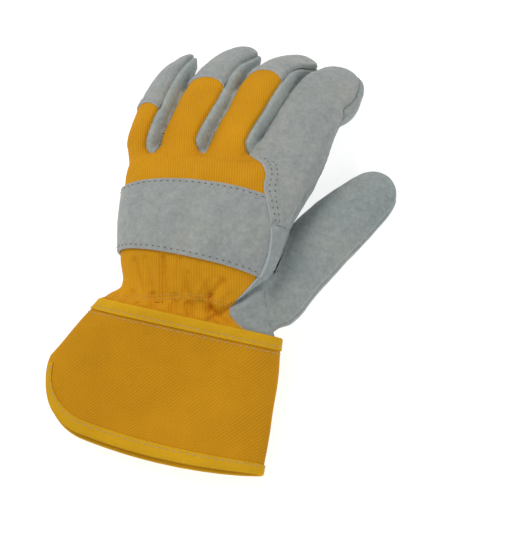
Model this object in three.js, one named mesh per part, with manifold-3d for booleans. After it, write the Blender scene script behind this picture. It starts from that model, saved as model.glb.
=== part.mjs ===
// General purpose work glove for the left hand, lying palm down with its back up.
// Millimetres, +Z up, +Y from the cuff to the fingertips, +X to the thumb side.
// One skin is lofted from the hand, the fingers and the thumb. It is cut along the seams
// into the panels that a real glove is sewn from, and each panel is given its thickness.
import * as THREE from 'three';
import Module from 'manifold-3d';

const wasm = await Module();
wasm.setup();

// Driving dimensions
const ORIGIN = new THREE.Vector3(2.76, 25.51, 0.15); // point of the drawing under the middle of the glove
const SEAM_GAP = 1;
const CREASE_GAP = 1.2; // between the thumb and the hand
const THUMB_TOP_GAPS = { hand: 1.4, cloth: 1.8 }; // from the thumb's top to its neighbours
const CLOTH = 1.2;
const LEATHER = 1.6;
const SIDE_STRIP = 1.2; // the strips between the fingers
const CUFF_WALL = 1.6;
const TAPE = { reach: 7, half: 1.9, thickness: 0.8, over: 1.2, notchEnd: -73 }; // U-shaped binding tape
const STRAP = { low: -2, tilt: 0.035, tiltAt: -60, high: 45.5, bow: 0.0022, lift: 0.5 };
const TAB = { left: -46, right: -3, top: -14, bottom: -60, corner: 15, lift: 2.2 };
const WRIST_END = -38; // how far the skin reaches into the cuff
const CUFF_TOP = { y: -21.8, perX: 0.086, perZ: -0.284 }; // tilted plane of the cuff's hand-side edge
const MOUTH = { y: -105.8, bow: 0.0016, bowAt: -20, left: -73, corner: 31 }; // outline of the open edge
const FLOOR = { skin: 0.1, cuff: 2.1, tab: 4 }; // lowest surface level of each sheet
const SHORTEST_EDGE = 3; // of the skin's mesh
const CREASE_ROUNDS = 9; // of smoothing where the fingers, the thumb and the hand meet
const SHORTEST_CUT = 0.15; // of a piece that a seam leaves of an edge
const GATHERS = 5; // folds that the elastic draws the wrist cloth into

const trunkColumns = ['lx', 'ly', 'lz', 'rx', 'ry', 'rz', 'up', 'down', 'gather'];
const TRUNK = table(trunkColumns, [
  // little-finger edge, thumb-side edge, height above and below the line between them, gathers
  [-47, -54, 15, 41, -54, 17, 12, 7, 0],
  [-50, -40, 15, 43, -40, 18, 9, 7, 0],
  [-51, -28, 15, 44, -26, 19, 13, 9, 0.5],
  [-48.5, -18, 15.5, 39, -14, 24, 17, 11.5, 1.4],
  [-52.5, -8, 16, 31, -4, 31, 19, 15, 1],
  [-57, 3, 17, 30, 8, 37, 20, 24, 0.2],
  [-62.5, 20, 17, 32, 24, 41, 19, 26, 0],
  [-67.5, 38, 17, 34, 42, 42, 16.5, 26, 0],
  [-70.5, 52, 16, 35, 58, 41, 15, 22, 0],
  [-69, 58, 17, 33, 67, 40, 11.5, 10, 0],
  [-63, 62, 19, 27, 75, 37, 4, 2, 0],
]);

const fingerColumns = ['x', 'y', 'z', 'wide', 'thick', 'roll'];
const LITTLE = table(fingerColumns, [
  [-50, 40, 15, 20, 21, 30],
  [-60.5, 55, 15, 18, 20, 38],
  [-65.8, 66, 15.3, 18.6, 20, 42],
  [-67.2, 78, 16, 21, 20, 44],
  [-67, 91, 15.5, 23.4, 19.5, 44],
  [-66.4, 105, 14.5, 23.4, 18.5, 44],
  [-64.5, 117, 12.8, 19.8, 17.5, 44],
  [-62.5, 127, 8.5, 14.5, 15, 44],
  [-59.5, 139, 5.5, 10, 10.5, 44],
]);
const RING = table(fingerColumns, [
  [-36, 42, 20, 27, 23, 22],
  [-39.8, 57, 20, 27.6, 23, 22],
  [-42, 74, 22, 28.6, 23, 24],
  [-40.8, 88, 23, 29.6, 23, 24],
  [-39.1, 104, 22, 31.4, 22, 24],
  [-37.6, 120, 19, 28.8, 21, 24],
  [-33.5, 136, 12.5, 25, 18, 24],
  [-23.2, 152.3, 5.8, 18.5, 13, 24],
]);
const MIDDLE = table(fingerColumns, [
  [-11, 46, 26, 27, 24, 22],
  [-13, 62, 26, 27.5, 24, 22],
  [-13.3, 81, 27, 26.5, 24, 24],
  [-10.2, 100, 28, 27.6, 23, 24],
  [-8.3, 117, 26, 29.2, 22, 24],
  [-5, 132.5, 20.5, 25.5, 20, 24],
  [2.2, 146, 11.5, 20.5, 16, 24],
  [14.5, 155, 5, 15, 12, 24],
]);
const INDEX = table(fingerColumns, [
  [10, 32, 30, 44, 24, 12],
  [13.5, 47, 31, 45, 24, 12],
  [17.5, 63, 32, 44, 24, 12],
  [20.7, 82, 31, 40.6, 23, 11],
  [22.4, 105, 27, 37.2, 22, 9],
  [24, 118, 23.5, 36, 21.5, 6],
  [28.4, 130, 19.2, 39.2, 21, -4],
  [31, 143, 12, 33.4, 19, -6],
  [32.4, 157, 6, 26, 15, -4],
]);
const THUMB = table(fingerColumns, [
  [10, -30, 18, 16, 10, 0],
  [18, -23, 19, 24, 14, 0],
  [25, -13, 19.5, 31, 16, 0],
  [33, -3, 17.5, 38, 25, 0],
  [40.5, 19, 15, 40, 29, 0],
  [49.5, 40, 14, 39, 28, 0],
  [59.5, 60, 12.8, 37, 26, 0],
  [69, 78, 10.8, 32, 22, 0],
  [77, 95, 8.6, 24, 18, 0],
]);
const CUFF = table(trunkColumns, [
  [-50, -8, 15, 44, -2, 20, 17.5, 13, 0],
  [-56, -29, 14, 47, -24, 19.5, 17.5, 12.8, 0],
  [-63.8, -45, 10.5, 51.5, -42, 16.5, 15, 9.6, 0],
  [-70.5, -62, 8, 54.3, -61, 13.5, 12.3, 7.2, 0],
  [-78, -78, 5, 57, -77, 12, 11, 5.8, 0],
  [-83, -92, 3.8, 58.6, -90, 10.8, 10.6, 4.9, 0],
  [-86, -112, 3.2, 60.5, -108, 9.6, 10.6, 4.2, 0],
]);

// Seams drawn on the back of the hand, seen from above: the edge of the index leather runs
// from the wrist round the knuckle to the crotch of the middle and index fingers.
const LEATHER_EDGE = [
  [34, -60], [31.5, -33], [27.5, -27.5], [22.5, -25], [18.5, -22.3], [17, -19], [18.4, -15],
  [20.5, -10.5], [25, 0], [26.5, 14], [24, 28], [18, 40.5], [13.5, 50],
  [12, 58], [7, 65.5], [1, 70], [-3, 73], [-0.5, 81],
];
const GUSSET_SEAM = [[15, 24], [34, 33.5]];
// The seam between the wedge below the index leather and the thumb's top, which reaches the cuff.
// It is seen from a little to the thumb side, as it runs over the steep edge of the hand.
const THUMB_TOP_SEAM = [
  [80, 42], [36, 31], [37, 25], [35.7, 17], [32.3, 7.6], [29, -1], [25, -6.5], [20.5, -14], [10, -27],
];
const THUMB_TOP_LEAN = { perZ: 0.6, from: 38 };
const THUMB_TOP_JOIN = 5;
// Distance along each finger, from its first row, to the crotch on its little-finger side and
// on its thumb side
const CROTCH = { little: [24, 22], ring: [22, 27], middle: [26, 28], index: [44, 44] };
// Distance from each cloth finger's first row to its fingertip piece, and the bow of that edge
const CAP_AT = { little: 55.5, ring: 72.5, middle: 80.5 };
const CAP_BOW = 0.025;
// Seams along a finger, in degrees above or below the middle of its side
const PALM_SEAM = -42;
const OUTER_SEAM = -10;
const INDEX_TIP_SEAM = { degrees: 45, from: 84, to: 97 };
// The back seam on the side away from the thumb, and each finger's own on its thumb side
const BACK_SEAM = { far: 26, little: 33, ring: 42, middle: 37, index: 14 };
const THUMB_SEAM = { root: 28, inner: -8, outer: 12, from: 62, to: 76 };

const suede = (shade) => new THREE.MeshStandardMaterial({ color: shade, roughness: 0.95, metalness: 0 });
const GREY_LEATHER = suede(0x97a3a6);
const PALM_LEATHER = suede(0x8c9a9f);
const SIDE_LEATHER = suede(0x84908f);
const DRILL = new THREE.MeshStandardMaterial({ color: 0xf09a1c, roughness: 0.9, metalness: 0 });
const TWILL = new THREE.MeshStandardMaterial({ color: 0xdd9312, roughness: 0.88, metalness: 0 });
const TAPE_YELLOW = new THREE.MeshStandardMaterial({ color: 0xeeb415, roughness: 0.85, metalness: 0 });

// Tables

function table(columns, rows) {
  return rows.map((row) => Object.fromEntries(columns.map((name, i) => [name, row[i]])));
}

// Smooth value of every column at row number t
function along(rows, t) {
  const i = Math.min(Math.floor(t), rows.length - 2);
  const f = t - i;
  const row = (k) => rows[Math.max(0, Math.min(rows.length - 1, k))];
  const result = {};
  for (const name of Object.keys(rows[0])) {
    const [a, b, c, d] = [row(i - 1)[name], row(i)[name], row(i + 1)[name], row(i + 2)[name]];
    result[name] = b + 0.5 * f * (c - a + f * (2 * a - 5 * b + 4 * c - d + f * (3 * (b - c) + d - a)));
  }
  return result;
}

// Stations: a centre, three directions and the half sizes of the section there

const UP = new THREE.Vector3(0, 0, 1);
const radians = THREE.MathUtils.degToRad;

function handStation(row, power) {
  const left = new THREE.Vector3(row.lx, row.ly, row.lz);
  const right = new THREE.Vector3(row.rx, row.ry, row.rz);
  const across = right.clone().sub(left);
  const half = across.length() / 2;
  across.normalize();
  const up = UP.clone().addScaledVector(across, -across.z).normalize();
  const centre = left.add(right).multiplyScalar(0.5);
  return { centre, right: across, up, half, above: row.up, below: row.down, gather: row.gather, power };
}

function handStations(rows, count, power) {
  const stations = [];
  for (let i = 0; i <= count; i++) {
    stations.push(handStation(along(rows, (rows.length - 1) * i / count), power));
  }
  return measure(stations);
}

function fingerStations(rows, count, tip, power) {
  const last = rows.length - 1;
  const point = (t) => {
    const row = along(rows, Math.max(0, Math.min(last, t)));
    return new THREE.Vector3(row.x, row.y, row.z);
  };
  const fine = Array.from({ length: 20 * last + 1 }, (_, i) => i / 20);
  const lengths = [0];
  for (let i = 1; i < fine.length; i++) {
    lengths.push(lengths[i - 1] + point(fine[i]).distanceTo(point(fine[i - 1])));
  }
  const total = lengths[lengths.length - 1];
  const rowAt = (s) => {
    const i = Math.max(1, lengths.findIndex((length) => length >= s - 1e-6));
    return fine[i - 1] + (s - lengths[i - 1]) / (lengths[i] - lengths[i - 1]) / 20;
  };
  const station = (s, closing) => {
    const t = Math.min(last, rowAt(s));
    const row = along(rows, t);
    const forward = point(t + 0.08).sub(point(t - 0.08)).normalize();
    const right = new THREE.Vector3().crossVectors(forward, UP).normalize();
    right.applyAxisAngle(forward, -radians(row.roll));
    const up = new THREE.Vector3().crossVectors(right, forward);
    const half = row.wide / 2 * closing;
    const thick = row.thick / 2 * closing;
    return { centre: point(t), right, up, half, above: thick, below: thick, gather: 0, power };
  };
  const stations = [];
  for (let i = 0; i < count; i++) {
    stations.push(station((total - tip) * i / count, 1));
  }
  const steps = 3;
  for (let i = 0; i <= steps; i++) {
    const angle = Math.PI / 2 * i / steps;
    const closing = Math.pow(1 - Math.pow(Math.sin(angle), 2.4), 1 / 2.2);
    stations.push(station(total - tip + tip * Math.sin(angle), closing));
  }
  return measure(stations);
}

// Adds to each station its distance from the first one
function measure(stations) {
  let s = 0;
  stations.forEach((station, i) => {
    s += i ? station.centre.distanceTo(stations[i - 1].centre) : 0;
    station.s = s;
  });
  return stations;
}

const signedPower = (value, power) => Math.sign(value) * Math.pow(Math.abs(value), power);

function sectionPoint(station, angle) {
  const across = signedPower(Math.cos(angle), 2 / station.power);
  const rise = signedPower(Math.sin(angle), 2 / station.power);
  const wave = rise > 0 ? station.gather * rise * Math.cos(Math.PI * GATHERS * across) : 0;
  const u = station.half * across;
  const w = rise * (rise > 0 ? station.above : station.below) + wave;
  return station.centre.clone().addScaledVector(station.right, u).addScaledVector(station.up, w);
}

// Sheets: lists of points, triangles and outward directions

// top and bottom are the numbers of steps round the upper and lower halves of the section
function tube(stations, top, bottom) {
  const points = [];
  const triangles = [];
  const around = top + bottom;
  for (const station of stations) {
    for (let j = 0; j < around; j++) {
      const halfTurns = j < top ? j / top : 1 + (j - top) / bottom;
      points.push(sectionPoint(station, Math.PI * halfTurns));
    }
  }
  for (let i = 0; i < stations.length - 1; i++) {
    for (let j = 0; j < around; j++) {
      const next = (j + 1) % around;
      const [a, d] = [i * around + j, i * around + next];
      triangles.push([a, a + around, d + around], [a, d + around, d]);
    }
  }
  return { points, triangles };
}

// A tube with both ends closed, as a solid that can be joined to others
function closedTube(stations, top, bottom) {
  const around = top + bottom;
  const pointed = stations[stations.length - 1].half < 0.5;
  const { points, triangles } = tube(pointed ? stations.slice(0, -1) : stations, top, bottom);
  const lastRing = points.length - around;
  points.push(stations[0].centre, stations[stations.length - 1].centre);
  for (let j = 0; j < around; j++) {
    const next = (j + 1) % around;
    triangles.push([points.length - 2, j, next]);
    triangles.push([points.length - 1, lastRing + next, lastRing + j]);
  }
  return solidOf({ positions: points, triangles });
}

function solidOf({ positions, triangles }) {
  return new wasm.Manifold(new wasm.Mesh({
    numProp: 3,
    vertProperties: new Float32Array(positions.flatMap((point) => point.toArray())),
    triVerts: new Uint32Array(triangles.flat()),
  }));
}

function sheetOf(solid) {
  const { numProp, vertProperties, triVerts } = solid.getMesh();
  const points = [];
  for (let i = 0; i < vertProperties.length; i += numProp) {
    points.push(new THREE.Vector3().fromArray(vertProperties, i));
  }
  const triangles = [];
  for (let i = 0; i < triVerts.length; i += 3) {
    triangles.push([triVerts[i], triVerts[i + 1], triVerts[i + 2]]);
  }
  return { points, triangles };
}

// Smooths the creases where two lofts meet, by the weight that each point is given
function relax(sheet, weight, rounds) {
  const neighbours = sheet.points.map(() => new Set());
  for (const [a, b, c] of sheet.triangles) {
    neighbours[a].add(b).add(c);
    neighbours[b].add(a).add(c);
    neighbours[c].add(a).add(b);
  }
  for (let round = 0; round < rounds; round++) {
    const moved = sheet.points.map((point, i) => {
      const mean = new THREE.Vector3();
      neighbours[i].forEach((k) => mean.add(sheet.points[k]));
      mean.divideScalar(neighbours[i].size);
      return point.clone().lerp(mean, 0.5 * weight[i]);
    });
    sheet.points = moved;
  }
}

// Joins the two ends of every edge that is shorter than a length, where that is safe
function mergeShortEdges(sheet, shortest) {
  const points = [...sheet.points];
  let triangles = sheet.triangles;
  for (let round = 0; round < 6; round++) {
    const around = points.map(() => []);
    triangles.forEach((triangle, t) => triangle.forEach((k) => around[k].push(t)));
    const neighbours = (k) => new Set(around[k].flatMap((t) => triangles[t]));
    const locked = new Set();
    const gone = new Map();
    for (const [a, b, c] of triangles) {
      for (const [i, o] of [[a, b], [b, c], [c, a]]) {
        if (points[i].distanceTo(points[o]) > shortest || locked.has(i) || locked.has(o)) {
          continue;
        }
        const [byI, byO] = [neighbours(i), neighbours(o)];
        const shared = [...byI].filter((k) => byO.has(k) && k !== i && k !== o);
        const middle = points[i].clone().lerp(points[o], 0.5);
        const turns = [...around[i], ...around[o]].some((t) => {
          const before = triangles[t].map((k) => points[k]);
          if (triangles[t].includes(i) && triangles[t].includes(o)) {
            return false;
          }
          const after = triangles[t].map((k) => (k === i || k === o ? middle : points[k]));
          return faceNormal(before).dot(faceNormal(after)) < 0.3;
        });
        if (shared.length !== 2 || turns) {
          continue;
        }
        points[i] = middle;
        gone.set(o, i);
        [...byI, ...byO].forEach((k) => locked.add(k));
      }
    }
    triangles = triangles.map((triangle) => triangle.map((k) => gone.get(k) ?? k))
      .filter(([a, b, c]) => a !== b && b !== c && c !== a);
  }
  const { positions, triangles: kept } = compact({ positions: points, triangles });
  return { points: positions, triangles: kept };
}

function faceNormal([a, b, c]) {
  return b.clone().sub(a).cross(c.clone().sub(a)).normalize();
}

// Keeps a sheet that lies on something from sinking below a level
function rest(sheet, level) {
  for (const point of sheet.points) {
    point.z = Math.max(point.z, level);
  }
}

function addNormals(sheet) {
  sheet.normals = sheet.points.map(() => new THREE.Vector3());
  for (const [a, b, c] of sheet.triangles) {
    const ab = sheet.points[b].clone().sub(sheet.points[a]);
    const ac = sheet.points[c].clone().sub(sheet.points[a]);
    const normal = ab.cross(ac);
    [a, b, c].forEach((k) => sheet.normals[k].add(normal));
  }
  sheet.normals.forEach((normal) => normal.normalize());
}

// Cuts a sheet along the line where a field, given in millimetres, has a value. The triangles
// on the two sides share the points of the line.
function split(sheet, field, value) {
  const values = sheet.points.map((point) => field(point) - value);
  const points = [...sheet.points];
  const normals = [...sheet.normals];
  const made = new Map();
  const crossing = (a, b) => {
    const [i, o] = values[a] >= 0 ? [a, b] : [b, a];
    const key = `${i}-${o}`;
    if (!made.has(key)) {
      const least = Math.min(0.06, SHORTEST_CUT / sheet.points[i].distanceTo(sheet.points[o]));
      const f = THREE.MathUtils.clamp(values[i] / (values[i] - values[o]), least, 1 - least);
      made.set(key, points.length);
      points.push(sheet.points[i].clone().lerp(sheet.points[o], f));
      normals.push(sheet.normals[i].clone().lerp(sheet.normals[o], f).normalize());
    }
    return made.get(key);
  };
  const sides = { above: [], below: [] };
  for (const triangle of sheet.triangles) {
    const loops = { above: [], below: [] };
    triangle.forEach((a, k) => {
      const b = triangle[(k + 1) % 3];
      loops[values[a] >= 0 ? 'above' : 'below'].push(a);
      if (values[a] >= 0 !== values[b] >= 0) {
        const point = crossing(a, b);
        loops.above.push(point);
        loops.below.push(point);
      }
    });
    for (const side of ['above', 'below']) {
      const loop = loops[side];
      for (let k = 1; k + 1 < loop.length; k++) {
        sides[side].push([loop[0], loop[k], loop[k + 1]]);
      }
    }
  }
  return { points, normals, ...sides };
}

// The part of a sheet where a field is at least a limit
function clip(sheet, field, limit = SEAM_GAP / 2) {
  const { points, normals, above } = split(sheet, field, limit);
  return { points, normals, triangles: above };
}

const cut = (sheet, fields) => fields.reduce((piece, field) => clip(piece, field), sheet);

// The connected pieces of a sheet, largest first
function pieces(sheet) {
  const parent = sheet.points.map((_, i) => i);
  const root = (i) => {
    while (parent[i] !== i) {
      parent[i] = parent[parent[i]];
      i = parent[i];
    }
    return i;
  };
  for (const [a, b, c] of sheet.triangles) {
    parent[root(a)] = root(b);
    parent[root(b)] = root(c);
  }
  const groups = new Map();
  for (const triangle of sheet.triangles) {
    const key = root(triangle[0]);
    groups.set(key, [...(groups.get(key) ?? []), triangle]);
  }
  return [...groups.values()].sort((a, b) => b.length - a.length)
    .map((triangles) => ({ ...sheet, triangles }));
}

// Directed edges that only one triangle has, in order, as closed loops of point numbers
function rims(sheet) {
  const edges = new Map();
  for (const [a, b, c] of sheet.triangles) {
    [[a, b], [b, c], [c, a]].forEach(([from, to]) => edges.set(`${from},${to}`, [from, to]));
  }
  const next = new Map();
  for (const [from, to] of edges.values()) {
    if (!edges.has(`${to},${from}`)) {
      next.set(from, to);
    }
  }
  const loops = [];
  while (next.size) {
    const loop = [];
    let point = next.keys().next().value;
    while (next.has(point)) {
      loop.push(point);
      const following = next.get(point);
      next.delete(point);
      point = following;
    }
    loops.push(loop);
  }
  return loops;
}

// A closed solid from a sheet: one face at each offset along the outward directions.
// An offset is a number or a function of the point.
function thicken(sheet, outer, inner) {
  const offset = (value, point) => (typeof value === 'function' ? value(point) : value);
  const number = new Map();
  const used = [...new Set(sheet.triangles.flat())];
  used.forEach((k, i) => number.set(k, i));
  const face = (value) => used.map((k) => {
    const distance = offset(value, sheet.points[k]);
    return sheet.points[k].clone().addScaledVector(sheet.normals[k], distance);
  });
  const positions = [...face(outer), ...face(inner)];
  const count = used.length;
  const triangles = [];
  for (const triangle of sheet.triangles) {
    const [a, b, c] = triangle.map((k) => number.get(k));
    triangles.push([a, b, c], [a + count, c + count, b + count]);
  }
  for (const loop of rims(sheet)) {
    loop.forEach((from, i) => {
      const a = number.get(from);
      const b = number.get(loop[(i + 1) % loop.length]);
      triangles.push([b, a, a + count], [b, a + count, b + count]);
    });
  }
  return { positions, triangles };
}

// Leaves out the points that no triangle uses
function compact({ positions, triangles }) {
  const used = [...new Set(triangles.flat())];
  const number = new Map(used.map((k, i) => [k, i]));
  return {
    positions: used.map((k) => positions[k]),
    triangles: triangles.map((triangle) => triangle.map((k) => number.get(k))),
  };
}

function solidMesh(name, material, { positions, triangles }) {
  const geometry = new THREE.BufferGeometry();
  geometry.setAttribute('position', new THREE.Float32BufferAttribute(
    positions.flatMap((point) => point.toArray()), 3));
  geometry.setIndex(triangles.flat());
  geometry.computeVertexNormals();
  const mesh = new THREE.Mesh(geometry, material);
  mesh.name = name;
  return mesh;
}

// Where a point lies about a row of stations: distance along, out to the right and up,
// the angle round the section and how far out it is, 1 being on the surface

function locate(stations, point) {
  let best = null;
  for (let i = 0; i < stations.length - 1; i++) {
    const a = stations[i];
    const b = stations[i + 1];
    const segment = b.centre.clone().sub(a.centre);
    const offset = point.clone().sub(a.centre);
    const f = THREE.MathUtils.clamp(offset.dot(segment) / segment.lengthSq(), 0, 1);
    const distance = offset.addScaledVector(segment, -f).lengthSq();
    if (!best || distance < best.distance) {
      best = { distance, offset, a, b, f };
    }
  }
  const { a, b, f, offset } = best;
  const mix = (name) => THREE.MathUtils.lerp(a[name], b[name], f);
  const right = a.right.clone().lerp(b.right, f).normalize();
  const up = a.up.clone().lerp(b.up, f).normalize();
  const u = offset.dot(right);
  const w = offset.dot(up);
  const past = Math.sqrt(Math.max(0, offset.lengthSq() - u * u - w * w));
  const half = Math.max(mix('half'), 1);
  const height = Math.max(w > 0 ? mix('above') : mix('below'), 1);
  const out = Math.hypot(u / half, w / height, past / height);
  const angle = THREE.MathUtils.radToDeg(Math.atan2(w / height, u / half));
  return { s: mix('s'), u, w, out, angle, reach: Math.hypot(u, w) };
}

// Distance to a line drawn on the table, positive on its left
function leftOf(line, point) {
  let best = Infinity;
  let side = 1;
  for (let i = 0; i < line.length - 1; i++) {
    const [ax, ay] = line[i];
    const [dx, dy] = [line[i + 1][0] - ax, line[i + 1][1] - ay];
    const [px, py] = [point.x - ax, point.y - ay];
    const f = THREE.MathUtils.clamp((px * dx + py * dy) / (dx * dx + dy * dy), 0, 1);
    const distance = Math.hypot(px - f * dx, py - f * dy);
    if (distance < best) {
      best = distance;
      side = Math.sign(dx * py - dy * px) || 1;
    }
  }
  return best * side;
}

const smooth = THREE.MathUtils.smoothstep;

// The skin and its fields

const hand = handStations(TRUNK, 13, 2.3);
const thumb = fingerStations(THUMB, 7, 16, 2.4);
const fingers = {
  little: fingerStations(LITTLE, 6, 11, 2.7),
  ring: fingerStations(RING, 6, 13, 2.7),
  middle: fingerStations(MIDDLE, 6, 13, 2.7),
  index: fingerStations(INDEX, 6, 16, 2.6),
};
const FINGER_NAMES = Object.keys(fingers);

const nearest = new Map();
// The finger that a point belongs to, and where it lies about it. Kept, as every field asks.
function fingerAt(point) {
  const key = `${point.x},${point.y},${point.z}`;
  if (!nearest.has(key)) {
    const places = FINGER_NAMES.map((name) => ({ name, ...locate(fingers[name], point) }));
    nearest.set(key, places.sort((a, b) => a.out - b.out)[0]);
  }
  return nearest.get(key);
}

// The angle measured from the finger's thumb side, or from its other side for a negative u
const sideAngle = (place) => (place.u > 0 ? place.angle : signedTurn(180 - place.angle));
const signedTurn = (angle) => ((angle + 180) % 360 + 360) % 360 - 180;
const mmBelow = (place, degrees) => radians(degrees - sideAngle(place)) * place.reach;
const isOuterSide = ({ name, u }) => (name === 'little' && u < 0) || (name === 'index' && u > 0);
const outerSeam = ({ name, s }) => {
  const raised = name === 'index' ? smooth(s, INDEX_TIP_SEAM.from, INDEX_TIP_SEAM.to) : 0;
  return THREE.MathUtils.lerp(OUTER_SEAM, INDEX_TIP_SEAM.degrees, raised);
};
const pastCrotch = ({ name, s, u }) => s - CROTCH[name][u > 0 ? 1 : 0];

const onHand = (point) => {
  const out = Math.min(locate(hand, point).out, fingerAt(point).out);
  return 14 * (locate(thumb, point).out - out);
};
const onThumb = (point) => -onHand(point);

// Below the seam round the edge of the hand and along the fingers
function onPalm(point) {
  const trunkSide = -3 - locate(hand, point).w;
  const finger = fingerAt(point);
  const fingerSide = mmBelow(finger, isOuterSide(finger) ? outerSeam(finger) : PALM_SEAM);
  return THREE.MathUtils.lerp(trunkSide, fingerSide, smooth(pastCrotch(finger), -14, 0));
}
const onBack = (point) => -onPalm(point);

// Inside the strips between the fingers, which narrow to a point at each crotch
function onSide(point) {
  const finger = fingerAt(point);
  const grown = smooth(pastCrotch(finger), -13, 7);
  const high = finger.u > 0 ? BACK_SEAM[finger.name] : BACK_SEAM.far;
  const top = isOuterSide(finger) ? OUTER_SEAM - 20 : THREE.MathUtils.lerp(PALM_SEAM, high, grown);
  return mmBelow(finger, top);
}
const offSide = (point) => -onSide(point);

// Left of the edge of the index leather, and beyond the crotch nearer to the middle finger
function inCloth(point) {
  const others = ['little', 'ring', 'middle'].map((name) => locate(fingers[name], point).out);
  const betweenFingers = 12 * (locate(fingers.index, point).out - Math.min(...others));
  return THREE.MathUtils.lerp(leftOf(LEATHER_EDGE, point), betweenFingers, smooth(point.y, 70, 76));
}
const inLeather = (point) => -inCloth(point);
const aboveGusset = (point) => leftOf(GUSSET_SEAM, point);
const belowGusset = (point) => -aboveGusset(point);

function onTip(point) {
  const finger = fingerAt(point);
  if (finger.name === 'index') {
    return -20;
  }
  return finger.s - CAP_AT[finger.name] + CAP_BOW * finger.u * finger.u;
}
const belowTip = (point) => -onTip(point);

const onThumbUnderside = (point) => {
  const place = locate(thumb, point);
  const grown = smooth(place.s, THUMB_SEAM.from, THUMB_SEAM.to);
  const inner = THREE.MathUtils.lerp(THUMB_SEAM.root, THUMB_SEAM.inner, grown);
  return mmBelow(place, place.u > 0 ? THUMB_SEAM.outer : inner);
};

// The thumb's top, and the part of the back below the wedge that is cut in one with it
function onThumbTop(point) {
  const top = -onThumbUnderside(point);
  const leaned = point.clone();
  leaned.x -= THUMB_TOP_LEAN.perZ * (point.z - THUMB_TOP_LEAN.from);
  const trunk = Math.min(leftOf(THUMB_TOP_SEAM, leaned), onBack(point));
  const hand = onHand(point);
  const join = Math.min(top, trunk, THUMB_TOP_JOIN - Math.abs(hand));
  return Math.max(Math.min(top, -hand), Math.min(trunk, hand), join);
}
const offThumbTop = (point) => -onThumbTop(point);

const strapTop = (point) => STRAP.high - STRAP.bow * point.x ** 2 - point.y;
const strapLow = (point) => point.y - STRAP.low - STRAP.tilt * (point.x - STRAP.tiltAt);
const strapSide = (point) => onBack(point) - 1;

function makeSkin() {
  let solid = closedTube(hand, 20, 9).add(closedTube(thumb, 5, 5));
  for (const name of FINGER_NAMES) {
    solid = solid.add(closedTube(fingers[name], 5, 5));
  }
  const sheet = mergeShortEdges(sheetOf(solid), SHORTEST_EDGE);
  const crease = sheet.points.map((point) => {
    const places = [locate(hand, point), locate(thumb, point), ...FINGER_NAMES.map(
      (name) => locate(fingers[name], point))];
    const second = places.map((place) => place.out).sort((a, b) => a - b)[1];
    return 1 - smooth(second, 1.05, 1.45);
  });
  relax(sheet, crease, CREASE_ROUNDS);
  rest(sheet, FLOOR.skin);
  addNormals(sheet);
  return clip(sheet, (point) => point.y - WRIST_END, 0);
}

const skin = makeSkin();
const glove = new THREE.Group();
const addPanel = (name, material, sheet, outer, inner) => {
  glove.add(solidMesh(name, material, thicken(sheet, outer, inner)));
};
const handSkin = clip(skin, onHand, CREASE_GAP / 2);
const thumbSkin = clip(skin, onThumb, CREASE_GAP / 2);
const largest = (sheet, fields) => pieces(cut(sheet, fields))[0];

// Palm, with the palm sides of the fingers
addPanel('palm', PALM_LEATHER, largest(handSkin, [onPalm, offThumbTop]), 0, -LEATHER);

// Back cloth, with the backs of three fingers up to their fingertip pieces
addPanel('back_cloth', DRILL, largest(handSkin, [onBack, offSide, inCloth, belowTip]), 0, -CLOTH);

// Knuckle strap, lying over the cloth
const strapSheet = largest(handSkin, [strapSide, inCloth, strapTop, strapLow]);
addPanel('knuckle_strap', GREY_LEATHER, strapSheet, STRAP.lift + LEATHER, STRAP.lift);

// Index back and the wedge below it on the thumb side
const indexSheet = largest(handSkin, [onBack, offSide, inLeather, aboveGusset, offThumbTop]);
addPanel('index_back', GREY_LEATHER, indexSheet, 0, -LEATHER);
const gussetSheet = largest(handSkin, [onBack, inLeather, belowGusset, offThumbTop]);
addPanel('side_gusset', GREY_LEATHER, gussetSheet, 0, -LEATHER);

// Fingertip pieces, a little prouder than the cloth
const tips = pieces(cut(handSkin, [onBack, offSide, inCloth, onTip])).slice(0, 3);
// Strips between the fingers, each one folded at the crotch
const strips = pieces(cut(handSkin, [onBack, onSide])).slice(0, 3);
const middleX = (sheet) => {
  const used = [...new Set(sheet.triangles.flat())];
  return used.reduce((sum, k) => sum + sheet.points[k].x, 0) / used.length;
};
const byX = (a, b) => middleX(a) - middleX(b);
['tip_little', 'tip_ring', 'tip_middle'].forEach((name, i) => {
  addPanel(name, GREY_LEATHER, tips.sort(byX)[i], 0.8, 0.8 - LEATHER);
});
['fourchette_little_ring', 'fourchette_ring_middle', 'fourchette_middle_index'].forEach((name, i) => {
  addPanel(name, SIDE_LEATHER, strips.sort(byX)[i], 0, -SIDE_STRIP);
});

// Thumb
const thumbTopSheet = clip(clip(skin, onThumbTop, THUMB_TOP_GAPS.hand), inLeather, THUMB_TOP_GAPS.cloth);
addPanel('thumb_top', PALM_LEATHER, pieces(thumbTopSheet)[0], 0, -LEATHER);
addPanel('thumb_underside', PALM_LEATHER, largest(thumbSkin, [onThumbUnderside, offThumbTop]), 0, -LEATHER);

// Cuff: a folded tube whose outline, seen from above, is cut with rounded flaps

const belowCuffTop = (point) => CUFF_TOP.y + CUFF_TOP.perX * point.x + CUFF_TOP.perZ * point.z - point.y;

function insideMouth(point) {
  const fromMouth = point.y - MOUTH.y - MOUTH.bow * (point.x - MOUTH.bowAt) ** 2;
  const fromLeft = point.x - MOUTH.left;
  const radius = MOUTH.corner;
  if (fromMouth < radius && fromLeft < radius) {
    return radius - Math.hypot(radius - fromMouth, radius - fromLeft);
  }
  return Math.min(fromMouth, fromLeft);
}

const cuffStations = handStations(CUFF, 7, 2.6);
const cuffTube = tube(cuffStations, 12, 10);
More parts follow.
